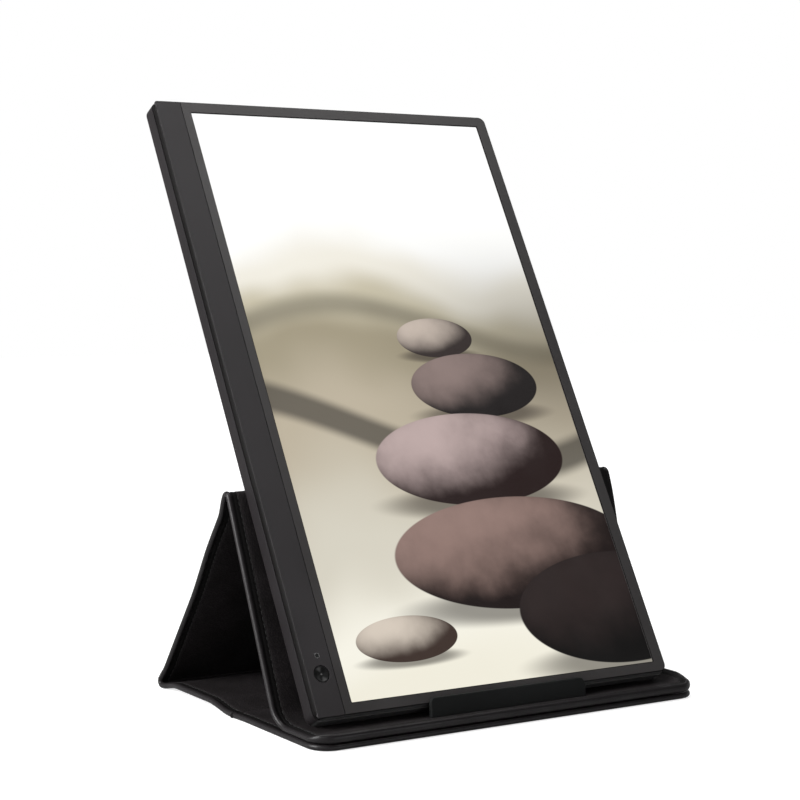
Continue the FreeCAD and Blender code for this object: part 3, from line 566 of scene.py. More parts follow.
def bridge(loops, closed):
    """Quads between neighbouring loops of equal length; the end loops are joined or capped."""
    count, rows = len(loops[0]), len(loops)
    points = [p for loop in loops for p in loop]
    faces = []
    for i in range(rows if closed else rows - 1):
        a, b = i * count, (i + 1) % rows * count
        faces += [(a + k, a + (k + 1) % count, b + (k + 1) % count, b + k) for k in range(count)]
    if not closed:
        faces.append(tuple(reversed(range(count))))
        faces.append(tuple(range((rows - 1) * count, rows * count)))
    return points, faces


def round_loop(x0, x1, u0, u1, radius, n):
    """Points of a rounded rectangle at the depth n, in the monitor's frame."""
    loop, steps = [], 8
    for x, u, start in ((x1, u0, -90), (x1, u1, 0), (x0, u1, 90), (x0, u0, 180)):
        cx = x - radius if x == x1 else x + radius
        cu = u + radius if u == u0 else u - radius
        for i in range(steps + 1):
            turn = math.radians(start + 90 * i / steps)
            loop.append((cx + radius * math.cos(turn), cu + radius * math.sin(turn), n))
    return loop


def steady(piece):
    """Large flat faces keep their own normal beside narrow rounded edges."""
    modifier = piece.modifiers.new("flat faces stay flat", "WEIGHTED_NORMAL")
    modifier.keep_sharp = True
    modifier.weight = 100


def mark_sharp(mesh, sharp_angle):
    """Edges steeper than the angle are sharp, and every face is smooth."""
    limit = math.radians(sharp_angle)
    with reworked(mesh) as work:
        for edge in work.edges:
            edge.smooth = edge.is_manifold and edge.calc_face_angle(0.0) < limit
        for face in work.faces:
            face.smooth = True


def applied(piece):
    """The piece with its modifiers made part of its mesh."""
    graph = bpy.context.evaluated_depsgraph_get()
    mesh = bpy.data.meshes.new_from_object(piece.evaluated_get(graph))
    piece.modifiers.clear()
    piece.data = mesh
    return piece


def cut(piece, cutter):
    """Takes the cutter's volume out of the piece."""
    modifier = piece.modifiers.new("cut", "BOOLEAN")
    modifier.operation = "DIFFERENCE"
    modifier.solver = "EXACT"
    modifier.object = cutter
    bpy.context.view_layer.update()
    applied(piece)
    mark_sharp(piece.data, SHARP)
    bpy.data.objects.remove(cutter)


# ---- cover -----------------------------------------------------------------------------------
def lay_flat(y, z, heading):
    """Lays (x, v, w) on a straight stretch: v runs along the heading, w is turned with it."""
    c, s = math.cos(math.radians(heading)), math.sin(math.radians(heading))

    def place(x, v, w):
        return Vector((x, y - ORIGIN_Y + v * c - w * s, z + v * s + w * c))
    return place


def lay_bend(vertex, heading, turn, radius):
    """Lays (x, v, w) on a bend that starts its setback before the vertex and turns the heading."""
    side = 1 if turn > 0 else -1
    reach = setback(radius, 180 - abs(turn))
    c, s = math.cos(math.radians(heading)), math.sin(math.radians(heading))
    start = Vector((vertex[0] - reach * c, vertex[1] - reach * s))
    centre = start + Vector((-s, c)) * radius * side

    def place(x, v, w):
        angle = math.radians(heading) + side * v / radius
        arm = radius - side * w
        offset = Vector((math.sin(angle), -math.cos(angle))) * arm * side
        return Vector((x, centre.x + offset.x - ORIGIN_Y, centre.y + offset.y))
    return place, math.radians(abs(turn)) * radius


def smooth(t):
    t = min(max(t, 0.0), 1.0)
    return t * t * (3 - 2 * t)


def nothing(*place):
    return 0.0


def uneven_lay(place, lift=nothing, flare=nothing, ear=nothing):
    """A stretch that isn't quite true.

    lift(x, v, w) raises it, flare(v) pushes its two sides out, and ear(v) its right side more.
    """
    def bent(x, v, w):
        reach = smooth((abs(x) - HALF_W + FLARE_DEPTH) / (FLARE_DEPTH - BEAD_DEPTH))
        out = flare(v) + (ear(v) if x > 0 else 0.0)
        return place(x + math.copysign(out * reach, x), v, w + lift(x, v, w))
    return bent


def edge_profile(high, low):
    """(inset, w, tone) from the upper face round the rolled bead to the lower face.

    tone is 0 on the flat, 0.5 in the gutter inside the bead and 1 on the bead.
    """
    def face_side(face, sign):
        level = sign * face
        return [
            (CORNER_R, level, 0), (9.4, level, 0), (7.4, level + sign * 0.06, 0),
            (6.3, level + sign * 0.04, 0), (5.9, level - sign * 0.10, 0),
            (SEAM_INSET, level - sign * 0.24, 0.25), (5.3, level - sign * 0.20, 0.5),
            (4.6, level - sign * 0.14, 0.5), (3.8, level - sign * 0.20, 0.5),
            (3.1, min(face - 0.36, 0.95) * sign, 0.5),
        ]

    upper = face_side(high, 1)
    lower = face_side(-low, -1)[::-1]
    bead = []
    for i in range(BEAD_STEPS + 1):
        turn = math.radians(BEAD_TURN - 2 * BEAD_TURN * i / BEAD_STEPS)
        shine = 1.0 if 0 < i < BEAD_STEPS else 0.6
        bead.append((WELT_R - WELT_R * math.cos(turn), WELT_R * math.sin(turn), shine))
    return upper + bead + lower


def outline_places(inset, start, end, corner, rows):
    """(x, v) along the left side, round the far corners if there are any, and back down."""
    x = HALF_W - inset
    if not corner:
        left = [(-x, start + (end - start) * i / rows) for i in range(rows + 1)]
        return [left, [(-px, v) for px, v in left]]
    r, steps = corner - inset, 12
    straight = end - corner

    def arc(middle, turn):
        """A quarter turn about a corner's middle, from the given angle down."""
        angles = [math.radians(turn - 90 * i / steps) for i in range(1, steps + 1)]
        return [(middle + r * math.cos(a), straight + r * math.sin(a)) for a in angles]

    half = HALF_W - corner
    places = [(-x, start + (straight - start) * i / rows) for i in range(rows + 1)]
    places += arc(-x + r, 180)
    places += [(-half + 2 * half * i / COLUMNS, end - inset) for i in range(1, COLUMNS + 1)]
    places += arc(x - r, 90)
    places += [(x, straight + (start - straight) * i / rows) for i in range(1, rows + 1)]
    return [places]


def swell(point):
    """Slow unevenness of leather over board, the same wherever two pieces meet."""
    return SWELL_SIZE * noise.noise(point * SWELL_RATE)


def leather(name, place, start, end, corner, high, low, rows, thin=None):
    """One panel or fold of the cover, as a closed skin.

    thin(v) is the share of the plate's thickness at v. The bead keeps its size.
    """
    points, faces, tones = [], [], []
    profile = edge_profile(high, low)

    def put(x, v, w, tone):
        if thin and tone < 0.6:
            w *= thin(v)
        nudge = swell(place(x, v, w)) * (1 - tone)
        points.append(place(x, v, w + nudge))
        tones.append(tone)

    for side in range(1 if corner else 2):
        lines = [outline_places(inset, start, end, corner, rows)[side] for inset, *_ in profile]
        faces += grid_faces(len(points), len(profile) - 1, len(lines[0]) - 1)
        for line, (_, w, tone) in zip(lines, profile):
            for x, v in line:
                put(x, v, w, tone)
    half = HALF_W - CORNER_R
    far = end - corner
    for w in (high, low):
        faces += grid_faces(len(points), rows, COLUMNS)
        for i in range(rows + 1):
            for k in range(COLUMNS + 1):
                put(-half + 2 * half * k / COLUMNS, start + (far - start) * i / rows, w, 0)
    made = piece_from(name, points, faces, ["leatherette"], SHARP_SKIN, tones)
    with reworked(made.data) as work:
        open_edges = [edge for edge in work.edges if edge.is_boundary]
        for face in bmesh.ops.holes_fill(work, edges=open_edges)["faces"]:
            for edge in face.edges:
                edge.smooth = False
        bmesh.ops.recalc_face_normals(work, faces=work.faces)
    return made


def fold_thin(length, least):
    """The share of the plate's thickness along a fold: 1 at its ends, least halfway."""
    def thin(v):
        t = min(max(v / length, 0.0), 1.0)
        edge = min(t, 1 - t) * 2
        return 1 - (1 - least) * edge * edge * (3 - 2 * edge)
    return thin


BASE_HIGH = PLATE_T - WELT_R
rear_start = CREASE_Y + CREASE_HALF
rear_length = REAR_FOLD[0] - REAR_SET - rear_start
leg_length = math.dist(REAR_FOLD, APEX_FOLD)
front_length = CREASE_Y - CREASE_HALF - FRONT_Y
flap_length = LOW_FOLD[0] - FRONT_Y

leg_end = leg_length - APEX_SET


def rear_arch(x, v, w):
    """The rear base board bows up off the table between its two folds."""
    rise = REAR_ARCH * smooth((v - ARCH_START) / ARCH_RISE)
    return rise * (1 - smooth((v - rear_length + ARCH_FALL) / ARCH_FALL))


def rear_flare(v):
    at_crease = CREASE_FLARE * (1 - smooth(v / CREASE_FADE))
    return at_crease + FOLD_FLARE * smooth((v - rear_length + FOLD_FADE) / FOLD_FADE)


def crease_flare(v):
    return CREASE_FLARE - NICK * math.exp(-((v + NICK_BACK) / NICK_HALF) ** 2)


def front_flare(v):
    return CREASE_FLARE * (1 - smooth(v / FRONT_FADE))


def leg_knee(x, v, w):
    """The leg runs straight to a knee and stands more upright from there to the full ridge."""
    past_knee = smooth((v - leg_end + KNEE_REACH) / KNEE_REACH)
    return KNEE * min(v / (leg_end - KNEE_REACH), 1.0) * (1 - past_knee) - RIDGE_FULL * past_knee


def leg_flare(v):
    at_fold = FOLD_FLARE * (1 - smooth((v - REAR_SET) / FOLD_FADE))
    return at_fold + APEX_FLARE * smooth((v - leg_end + APEX_REACH) / APEX_FADE)


def backrest_flare(v):
    length = BACKREST_LENGTH - LOW_SET - APEX_SET
    return APEX_FLARE + (LOW_FLARE - APEX_FLARE) * (v - APEX_SET) / length


def flap_shape(x, v, w):
    """The flap is thicker along its front edge, and its right edge curls up to the lower fold."""
    front = FRONT_SWELL * smooth((v - SWELL_START) / SWELL_RISE) * (WELT_R - w) / (2 * WELT_R)
    curl = EDGE_RISE * smooth((x - EDGE_X) / EDGE_WIDE) * smooth((EDGE_END - v) / EDGE_FADE)
    return -front - curl


def low_rise(x, v, w):
    return flap_shape(x, LOW_SET, w) * smooth(v / low_arc)


def ridge_waves(x, v, w):
    wave = RIDGE_WAVE * math.sin(math.pi * v / apex_arc)
    wave *= noise.noise(Vector((x * WAVE_RATE, 0.0, WAVE_SEED)))
    return wave - RIDGE_FULL * (1 - smooth(v / apex_arc))


round_rear, rear_arc = lay_bend(REAR_FOLD, 0.0, LEG_HEADING, FOLD_R)
round_apex, apex_arc = lay_bend(APEX_FOLD, LEG_HEADING, BACKREST_HEADING - LEG_HEADING, FOLD_R)
round_low, low_arc = lay_bend(LOW_FOLD, BACKREST_HEADING, FLAP_HEADING - BACKREST_HEADING, BEND_R)
lay_rear = uneven_lay(lay_flat(rear_start, WELT_R, 0.0), rear_arch, rear_flare)
lay_crease = uneven_lay(lay_flat(CREASE_Y, WELT_R, 0.0), flare=crease_flare)
lay_front = uneven_lay(lay_flat(CREASE_Y - CREASE_HALF, WELT_R, 180.0), flare=front_flare)
lay_rear_fold = uneven_lay(round_rear, flare=lambda v: FOLD_FLARE)
lay_leg = uneven_lay(lay_flat(*REAR_FOLD, LEG_HEADING), leg_knee, leg_flare,
                     lambda v: RIDGE_EAR * smooth((v - leg_end + EAR_FADE) / EAR_FADE))
lay_apex = uneven_lay(round_apex, ridge_waves, lambda v: APEX_FLARE, lambda v: RIDGE_EAR)
lay_back = uneven_lay(lay_flat(*APEX_FOLD, BACKREST_HEADING), nothing, backrest_flare,
                      lambda v: RIDGE_EAR * (1 - smooth((v - APEX_SET) / EAR_FADE)))
lay_low = uneven_lay(round_low, low_rise, lambda v: LOW_FLARE * (1 - smooth(v / low_arc)))
lay_flap = uneven_lay(lay_flat(*LOW_FOLD, FLAP_HEADING), flap_shape)

HALF_T = PLATE_T / 2
PANELS = {
    # name: (place, start, end, corner, upper face, lower face, rows)
    "base_rear": (lay_rear, 0.0, rear_length, 0.0, BASE_HIGH, -WELT_R, 30),
    "base_front": (lay_front, 0.0, front_length, CORNER_R, WELT_R, -BASE_HIGH, 30),
    "leg": (lay_leg, REAR_SET, leg_end, 0.0, HALF_T, -HALF_T, 70),
    "backrest": (lay_back, APEX_SET, BACKREST_LENGTH - LOW_SET, 0.0, HALF_T, -HALF_T, 44),
    "flap": (lay_flap, LOW_SET, flap_length, CORNER_R, HALF_T, -HALF_T, 10),
}
FOLDS = {
    # name: (place, start, length, first body, second body, upper face, lower face, rows, least)
    "rear_fold": (lay_rear_fold, 0.0, rear_arc, "base_rear", "leg", HALF_T, -HALF_T, 16, 0.6),
    "apex_fold": (lay_apex, 0.0, apex_arc, "leg", "backrest", HALF_T, -HALF_T, 16, 1.2),
    "lower_fold": (lay_low, 0.0, low_arc, "backrest", "flap", HALF_T, -HALF_T, 24, 0.8),
    "middle_crease": (lay_crease, -CREASE_HALF, CREASE_HALF, "base_rear", "base_front",
                      BASE_HIGH, -WELT_R, 20, 0.55),
}


def make_cover():
    for body, (place, start, end, corner, high, low, rows) in PANELS.items():
        skin = leather(body + "_skin", place, start, end, corner, high, low, rows)
        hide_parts(body + "_cover")
        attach(skin, body)
    for name, (place, start, end, first, second, high, low, rows, least) in FOLDS.items():
        thin = fold_thin(end - start, least)
        skin = leather(name + "_skin", place, start, end, 0.0, high, low, rows,
                       thin=lambda v, t=thin, s=start: t(v - s))
        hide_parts(name)
        a, b = place(0, start, 0) * MM, place(0, end, 0) * MM
        if name == "middle_crease":
            a, b = b, a
        tuple(a)
        tuple(b)
        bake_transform(skin)


def make_boards():
    """The boards of the panels that aren't flat bend with them, inside the leather."""
    for body in ("leg", "base_rear", "flap"):
        place, start, end, corner, high, low, rows = PANELS[body]
        first = start + BOARD_END
        last = end - (BOARD_INSET if corner else BOARD_END)
        wide, radius = HALF_W - BOARD_INSET, max(corner - BOARD_INSET, 0.0)
        points, steps = [], 96
        for side in (1, -1):
            w = (high + low) / 2 + side * BOARD_T / 2
            for i in range(rows + 1):
                v = first + (last - first) * i / rows
                past = max(v - last + radius, 0.0)
                half = wide - radius + math.sqrt(radius ** 2 - past ** 2)
                points += [place(half * (2 * k / steps - 1), v, w) for k in range(steps + 1)]
        across = steps + 1
        under = (rows + 1) * across
        faces = grid_faces(0, rows, steps) + grid_faces(under, rows, steps)
        rim = list(range(across)) + [i * across + across - 1 for i in range(1, rows + 1)]
        rim += list(range(under - 2, under - across - 1, -1))
        rim += [i * across for i in range(rows - 1, 0, -1)]
        faces += [(a, b, under + b, under + a) for a, b in zip(rim, rim[1:] + rim[:1])]
        board = piece_from(body + "_stiffener", points, faces, ["stiff_board"])
        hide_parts(body + "_board")
        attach(board, body)


def make_stitch_tree():
    """Geometry tree: stitches of one length laid end to end, with a gap, along each line."""
    tree = bpy.data.node_groups.new("stitches", "GeometryNodeTree")
    sockets = {}
    for label, kind, value in (("Lines", "NodeSocketGeometry", None),
                               ("Pitch", "NodeSocketFloat", 0.0033),
                               ("Length", "NodeSocketFloat", 0.0026),
                               ("Thickness", "NodeSocketFloat", 0.00024),
                               ("Finish", "NodeSocketMaterial", None)):
        socket = tree.interface.new_socket(label, in_out="INPUT", socket_type=kind)
        if value:
            socket.default_value = value
        sockets[label] = socket.identifier
    tree.interface.new_socket("Stitches", in_out="OUTPUT", socket_type="NodeSocketGeometry")
    given, result = tree.nodes.new("NodeGroupInput"), tree.nodes.new("NodeGroupOutput")
    line = add(tree, "GeometryNodeMeshToCurve", {"Mesh": given.outputs["Lines"]})
    spaced = add(tree, "GeometryNodeResampleCurve", {"Curve": line.outputs[0]}, mode="LENGTH")
    tree.links.new(given.outputs["Pitch"], spaced.inputs["Length"])
    bead = add(tree, "GeometryNodeMeshUVSphere", {"Segments": 8, "Rings": 5, "Radius": 1.0})
    half = times(tree, given.outputs["Length"], 0.5)
    thick = given.outputs["Thickness"]
    size = add(tree, "ShaderNodeCombineXYZ", {0: thick, 1: thick, 2: half})
    tangent = add(tree, "GeometryNodeInputTangent").outputs[0]
    turn = add(tree, "FunctionNodeAlignRotationToVector", {"Vector": tangent}, axis="Z")
    laid = add(tree, "GeometryNodeInstanceOnPoints", {
        "Points": spaced.outputs[0], "Instance": bead.outputs[0],
        "Rotation": turn.outputs[0], "Scale": size.outputs[0]})
    real = add(tree, "GeometryNodeRealizeInstances", {"Geometry": laid.outputs[0]})
    rounded = add(tree, "GeometryNodeSetShadeSmooth", {"Geometry": real.outputs[0]})
    done = add(tree, "GeometryNodeSetMaterial", {"Geometry": rounded.outputs[0],
                                                 "Material": given.outputs["Finish"]})
    tree.links.new(done.outputs[0], result.inputs[0])
    return tree, sockets


def stitch_lines(place, start, end, corner, high, low, rows, thin=None):
    """The seam lines of one panel or fold, on both of its faces."""
    lines = []
    for face, sign in ((high, 1), (low, -1)):
        for line in outline_places(SEAM_INSET, start, end, corner, rows):
            lines.append([])
            for x, v in line:
                level = (face - sign * STITCH_SINK) * (thin(v) if thin else 1.0)
                nudge = swell(place(x, v, level))
                lines[-1].append(place(x, v, level + sign * STITCH_PROUD + nudge))
    return lines


def make_stitches():
    tree, sockets = make_stitch_tree()

    def sew(name, lines):
        points = [p for line in lines for p in line]
        edges, first = [], 0
        for line in lines:
            edges += [(first + i, first + i + 1) for i in range(len(line) - 1)]
            first += len(line)
        mesh = bpy.data.meshes.new(name)
        mesh.from_pydata(to_world(points), edges, [])
        made = placed(name, mesh)
        modifier = made.modifiers.new("stitches", "NODES")
        modifier.node_group = tree
        modifier[sockets["Finish"]] = FINISH["thread"]
        bpy.context.view_layer.update()
        return applied(made)

    for body, (place, start, end, corner, high, low, rows) in PANELS.items():
        if body.startswith("base"):
            start += CREASE_GAP
        lines = stitch_lines(place, start, end, corner, high, low, rows)
        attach(sew("stitches_" + body, lines), body)
    place, start, end, first, second, high, low, rows, least = FOLDS["lower_fold"]
    lines = stitch_lines(place, start, end, 0.0, high, low, rows, fold_thin(end - start, least))
    thread = sew("stitches_lower_fold", lines)
    tuple(place(0, start, 0) * MM)
    tuple(place(0, end, 0) * MM)
    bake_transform(thread)


def make_lip():
    """Stop lip: a slab with round upper corners that thins and leans back towards its top."""
    foot_z, height = FLAP_Z + PLATE_T / 2 - LIP_SINK, LIP_H + LIP_SINK
    bend = MON_FRONT_Z - foot_z
    wide, tall = 40, 6
    turns = [math.radians(90 * i / 8) for i in range(1, 9)]

    def on_lip(x, h, across):
        """across runs from 0 at the front face to 1 at the back face."""
        back = -LIP_CLEAR + LIP_LEAN * max(0.0, (h - bend) / (height - bend))
        thick = LIP_T + (LIP_TOP_T - LIP_T) * (h / height)
        return Vector((LIP_X + x, back - thick * (1 - across) - ORIGIN_Y, foot_z + h))

    def loop(inset, across):
        half, top, r = LIP_W / 2 - inset, height - inset, LIP_CORNER - inset
        places = [(-half + 2 * half * i / wide, 0.0) for i in range(wide + 1)]
        places += [(half, (top - r) * i / tall) for i in range(1, tall + 1)]
        places += [(half - r + r * math.cos(a), top - r + r * math.sin(a)) for a in turns]
        places += [(half - r - 2 * (half - r) * i / wide, top) for i in range(1, wide + 1)]
        places += [(-half + r - r * math.sin(a), top - r + r * math.cos(a)) for a in turns]
        places += [(-half, (top - r) * (tall - i) / tall) for i in range(1, tall)]
        return [on_lip(x, h, across) for x, h in places]

    profile = ((1.2, 0.0), (0.42, 0.0), (0.2, 0.03), (0.06, 0.1), (0.0, 0.22),
               (0.0, 0.78), (0.06, 0.9), (0.2, 0.97), (0.42, 1.0), (1.2, 1.0))
    points, faces = bridge([loop(inset, across) for inset, across in profile], False)
    lip = piece_from("stop_lip_body", points, faces, ["lip_rubber"], SHARP_ROUND)
    steady(lip)
    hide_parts("stop_lip")
    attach(lip, "flap")


# ---- monitor ---------------------------------------------------------------------------------
def monitor_piece(name, loops, finishes, closed=False, slots=None, sharp_angle=SHARP):
    points, faces = bridge([[on_monitor(*p) for p in loop] for loop in loops], closed)
    return piece_from(name, points, faces, finishes, sharp_angle, slots=slots)


def disc(u, radius, n):
    """Points of a circle about the middle line of the chin."""
    turns = [2 * math.pi * i / 64 for i in range(64)]
    return [(BUTTON_X + radius * math.cos(a), u + radius * math.sin(a), n) for a in turns]


def make_frame():
    """Bezel frame in one piece: step, bevel and face with softened edges, opening, rear rim."""
    x0, x1, u0, u1 = LEFT + FRAME_STEP, RIGHT - FRAME_STEP, FRAME_STEP, MON_H - FRAME_STEP
    parting_n = PARTING - FRAME_T

    def inside(inset, n, radius):
        return round_loop(x0 + inset, x1 - inset, u0 + inset, u1 - inset, radius, n)

    def opening(grow, n):
        return round_loop(SCREEN_X0 - grow, SCREEN_X1 + grow, SCREEN_U0 - grow, SCREEN_U1 + grow,
                          OPENING_CORNER + grow, n)

    side = ((PARTING, -FRAME_T), (PARTING, parting_n), (0.04, parting_n), (0.0, parting_n + 0.1),
            (0.03, -2.3), (0.12, -1.6), (0.26, -0.95), (BEVEL - 0.18, -0.5),
            (BEVEL - 0.02, -0.2), (BEVEL + 0.12, -0.05), (BEVEL + 0.3, 0.0))
    mouth = ((0.42, 0.0), (0.14, -0.07), (0.0, -0.26), (0.0, -FRAME_LIP_T), (1.4, -FRAME_LIP_T))
    loops = [inside(inset, n, MON_CORNER - FRAME_STEP - inset) for inset, n in side]
    loops += [opening(grow, n) for grow, n in mouth]
    loops += [inside(FRAME_RIM, n, RIM_CORNER) for n in (-CHIN_T - LEDGE_T, -FRAME_T)]
    # These rows take frame_edge, the frame plastic painted darker as shade.
    edge_rows = {*range(10), 11, 12}     # up to the bevel, and the softened step at the mouth
    slots = [int(row in edge_rows) for row in range(len(loops)) for _ in loops[0]]
    body = monitor_piece("front_frame_body", loops, ["frame_plastic", "frame_edge"], True, slots)

    pocket = [round_loop(CHIN_X0 - OVERLAP, CHIN_X1 + CHIN_GROOVE, CHIN_END - OVERLAP,
                         MON_H - CHIN_END + OVERLAP, CHIN_CORNER, n) for n in (-CHIN_T, 1.0)]
    hidden_n = (-FRAME_T - 1.0, -0.5)
    flange_hole = [disc(BUTTON_U, BUTTON_R + FLANGE_OVER + FLANGE_CLEAR, n) for n in hidden_n]
    light_hole = [disc(LED_U, LED_R + BUTTON_CLEAR, n) for n in hidden_n]
    for loops in (pocket, flange_hole, light_hole):
        cut(body, monitor_piece("cutter", loops, ["frame_edge"]))
    steady(body)
    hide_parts("front_frame")
    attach(body, "monitor")


def make_chin():
    """Flush strip beside the screen, with softened edges and holes for button and indicator."""
    def edge(inset, n):
        return round_loop(CHIN_X0 + inset, CHIN_X1 - inset, CHIN_END + inset,
                          MON_H - CHIN_END - inset, CHIN_CORNER - inset, n)

    profile = ((0.0, -CHIN_T), (0.0, -0.22), (0.03, -0.09), (0.1, -0.02), (0.2, 0.0))
    body = monitor_piece("chin_cover_body", [edge(*step) for step in profile], ["chin_plastic"])
    for u, radius in ((BUTTON_U, BUTTON_R + BUTTON_CLEAR), (LED_U, LED_R + LED_CLEAR)):
        profile = ((0.0, -3.0), (0.0, -0.3), (0.02, -0.12), (0.14, 0.02), (0.14, 1.0))
        loops = [disc(u, radius + grow, n) for grow, n in profile]
        cut(body, monitor_piece("cutter", loops, ["chin_plastic"]))
    steady(body)
    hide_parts("chin_cover")
    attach(body, "monitor")

    turns = [2 * math.pi * i / 10 for i in range(10)]
    ring = [disc(LED_U, LED_R - RING_IN + RING_HALF_W * math.cos(a),
                 RING_PROUD + RING_HALF_T * math.sin(a)) for a in turns]
    mark = monitor_piece("indicator_ring", ring, ["indicator_print"], True)
    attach(mark, "monitor")


def make_button():
    """Round cap with a rolled edge and a shallow dish, its flange and stem behind the chin."""
    flange_r, dish_r = BUTTON_R + FLANGE_OVER, BUTTON_R - DISH_RIM
    dish_n = BUTTON_TOP - DISH_FALL
    profile = [(POLE_R, STEM_BACK), (STEM_R, STEM_BACK), (STEM_R, FLANGE_BACK),
               (flange_r, FLANGE_BACK), (flange_r, FLANGE_TOP), (BUTTON_R, FLANGE_TOP),
               (BUTTON_R, BUTTON_TOP - 0.3), (BUTTON_R - 0.04, BUTTON_TOP - 0.14),
               (BUTTON_R - 0.14, BUTTON_TOP - 0.04), (BUTTON_R - 0.3, BUTTON_TOP),
               (BUTTON_R - 0.42, BUTTON_TOP - 0.02)]
    for i in range(16):
        r = dish_r * (1 - i / 16)
        profile.append((r, dish_n - DISH_DEPTH * (1 - (r / dish_r) ** 2)))
    profile.append((POLE_R, BUTTON_TOP - (DISH_FALL + DISH_DEPTH)))
    loops = [disc(BUTTON_U, r, n) for r, n in profile]
    cap = monitor_piece("power_button_body", loops, ["button_plastic"], sharp_angle=SHARP_ROUND)
    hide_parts("power_button_cap")
    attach(cap, "power_button")


def finish_solids():
    """Each solid that stays takes the finish of its own slot."""
    slots = {row["node"]: row["material_slot"] for row in frame["record"]["subparts"]}
    slots["indicator_light_pipe"] = "indicator_lens"
    for node, solid in frame["nodes"].items():
        solid.data.materials.clear()
        solid.data.materials.append(FINISH[slots[node]])


# ---- studio ----------------------------------------------------------------------------------
ROOM_LIGHT, CEILING, FRONT_ROOM, FLOOR_SHEEN = 0.38, 0.12, 0.25, 0.12
LENS, SENSOR, CAMERA_PLACE = 90.44, 36.0, (-0.6081, -0.91455, 0.2439)
AZIMUTH, DROP, ROLL = (math.radians(angle) for angle in (33.24, 4.43, 0.60))
LAMPS = {
    # name: (place, aim, size, power)
    "key": ((0.45, -0.30, 1.12), (0.0, 0.04, 0.24), (0.35, 0.35), 3.0),
    "top": ((0.0, 0.22, 1.25), (0.0, -0.05, 0.0), (0.8, 0.4), 9.0),
    "side": ((-1.0, -0.80, 0.62), (0.0, 0.0, 0.10), (0.9, 0.5), 3.0),
    "left": ((-1.1, 0.10, 0.65), (-0.1, 0.05, 0.05), (0.7, 0.7), 31.0),
    "strip": ((-1.1, 0.05, 0.22), (-0.1, 0.0, 0.04), (0.9, 0.5), 7.0),
    "front": ((0.3, -1.3, 0.18), (0.0, -0.1, 0.02), (0.8, 0.2), 3.0),
}
FLOOR_HALF, FLOOR_Z = 3, -0.0003


def make_camera():
    data = bpy.data.cameras.new("camera")
    data.lens, data.sensor_width = LENS, SENSOR
    data.clip_end = 20.0
    camera = placed("camera", data)
    ahead = Vector((math.sin(AZIMUTH) * math.cos(DROP), math.cos(AZIMUTH) * math.cos(DROP),
                    -math.sin(DROP)))
    level = Vector((math.cos(AZIMUTH), -math.sin(AZIMUTH), 0.0))
    up = level.cross(ahead)
    right = level * math.cos(ROLL) + up * math.sin(ROLL)
    up = right.cross(ahead)
    turn = Matrix((right, up, -ahead)).transposed()
    camera.matrix_world = Matrix.Translation(CAMERA_PLACE) @ turn.to_4x4()
    bpy.context.scene.camera = camera


def make_lamps():
    for name, (place, aim, size, power) in LAMPS.items():
        data = bpy.data.lights.new(name, "AREA")
        data.shape, data.size, data.size_y, data.energy = "RECTANGLE", size[0], size[1], power
        made = placed(name, data)
        made.location = place
        made.rotation_euler = (Vector(aim) - Vector(place)).to_track_quat("-Z", "Y").to_euler()


def seen_directly(tree):
    """1 for what the camera, a gloss or clear glass sees, 0 for the light on the object."""
    path = tree.nodes.new("ShaderNodeLightPath")
    seen = calc(tree, "MAXIMUM", path.outputs["Is Camera Ray"], path.outputs["Is Glossy Ray"])
    return calc(tree, "MAXIMUM", seen, path.outputs["Is Transmission Ray"])


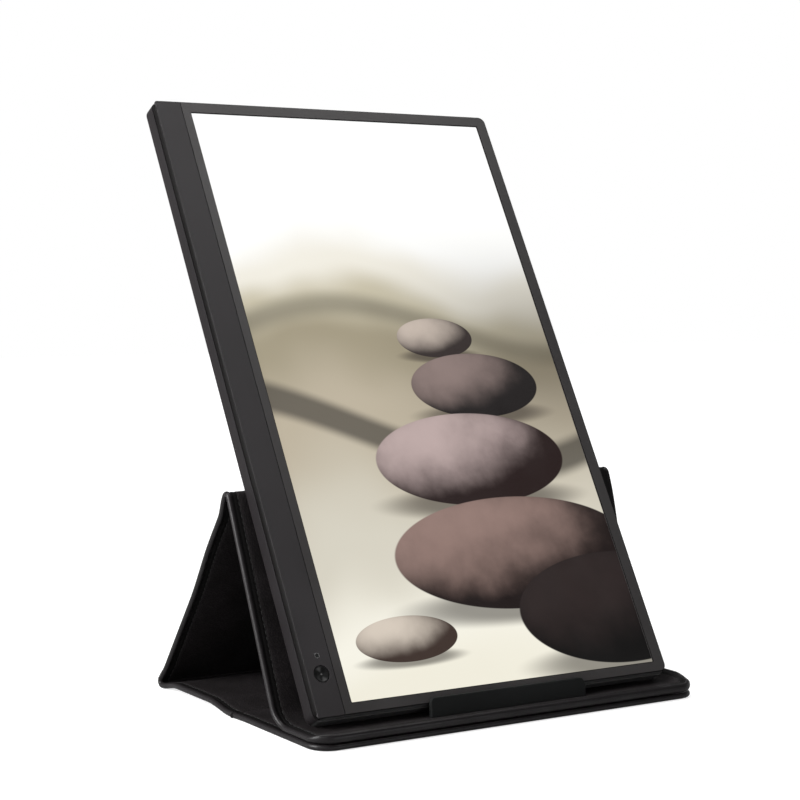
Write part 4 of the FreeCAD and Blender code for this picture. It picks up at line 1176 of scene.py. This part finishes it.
def make_room():
    """Gloss shows the white sweep up to the eye's height, a dim ceiling and a dim room in front."""
    world = bpy.data.worlds.new("studio")
    bpy.context.scene.world = world
    world.use_nodes = True
    tree = world.node_tree
    tree.nodes.clear()
    heading = add(tree, "ShaderNodeTexCoord").outputs["Generated"]
    way = add(tree, "ShaderNodeSeparateXYZ", {0: heading})
    ceiling = between(tree, way.outputs["Z"], 0.10, 0.42, 1.0, CEILING)
    front = between(tree, way.outputs["Y"], -0.55, 0.05, FRONT_ROOM, 1.0)
    camera_ray = add(tree, "ShaderNodeLightPath").outputs["Is Camera Ray"]
    shown = calc(tree, "MAXIMUM", times(tree, ceiling, front), camera_ray)
    light = add(tree, "ShaderNodeBackground", {"Color": grey(255), "Strength": ROOM_LIGHT})
    seen = add(tree, "ShaderNodeBackground", {"Color": grey(255), "Strength": shown})
    both = add(tree, "ShaderNodeMixShader", {
        0: seen_directly(tree), 1: light.outputs[0], 2: seen.outputs[0]})
    out = add(tree, "ShaderNodeOutputWorld")
    feed(tree, out, {"Surface": both.outputs[0]})


def make_floor():
    """White sweep that keeps the object's shadow, and that gloss sees as dim."""
    mesh = bpy.data.meshes.new("floor")
    corners = ((-1, -1), (1, -1), (1, 1), (-1, 1))
    points = [(FLOOR_HALF * x, FLOOR_HALF * y, FLOOR_Z) for x, y in corners]
    mesh.from_pydata(points, [], [(0, 1, 2, 3)])
    floor = placed("floor", mesh)
    made, tree, shader = new_material("floor")
    paper = add(tree, "ShaderNodeTexNoise", {"Scale": 30.0, "Detail": 3.0})
    feed(tree, shader, {
        "Base Color": blend_colour(tree, paper.outputs["Fac"], grey(166), grey(172)),
        "Roughness": 0.9, "Specular IOR Level": 0.1,
    })
    distance = add(tree, "ShaderNodeVectorMath", {0: object_place(tree)}, operation="LENGTH")
    lift = between(tree, distance.outputs["Value"], 0.3, 1.6, 0.72, 1.0)
    gloss = add(tree, "ShaderNodeLightPath").outputs["Is Glossy Ray"]
    lift = times(tree, lift, calc(tree, "MULTIPLY_ADD", gloss, FLOOR_SHEEN - 1.0, 1.0))
    glow = add(tree, "ShaderNodeEmission", {
        "Color": grey(255), "Strength": times(tree, seen_directly(tree), lift)})
    both = add(tree, "ShaderNodeAddShader", {0: shader.outputs[0], 1: glow.outputs[0]})
    feed(tree, tree.nodes["Material Output"], {"Surface": both.outputs[0]})
    mesh.materials.append(made)


bpy.context.scene.view_settings.view_transform = "Standard"
make_camera()
finish_solids()
make_cover()
make_boards()
make_stitches()
make_lip()
make_frame()
make_chin()
make_button()
make_lamps()
make_room()
make_floor()
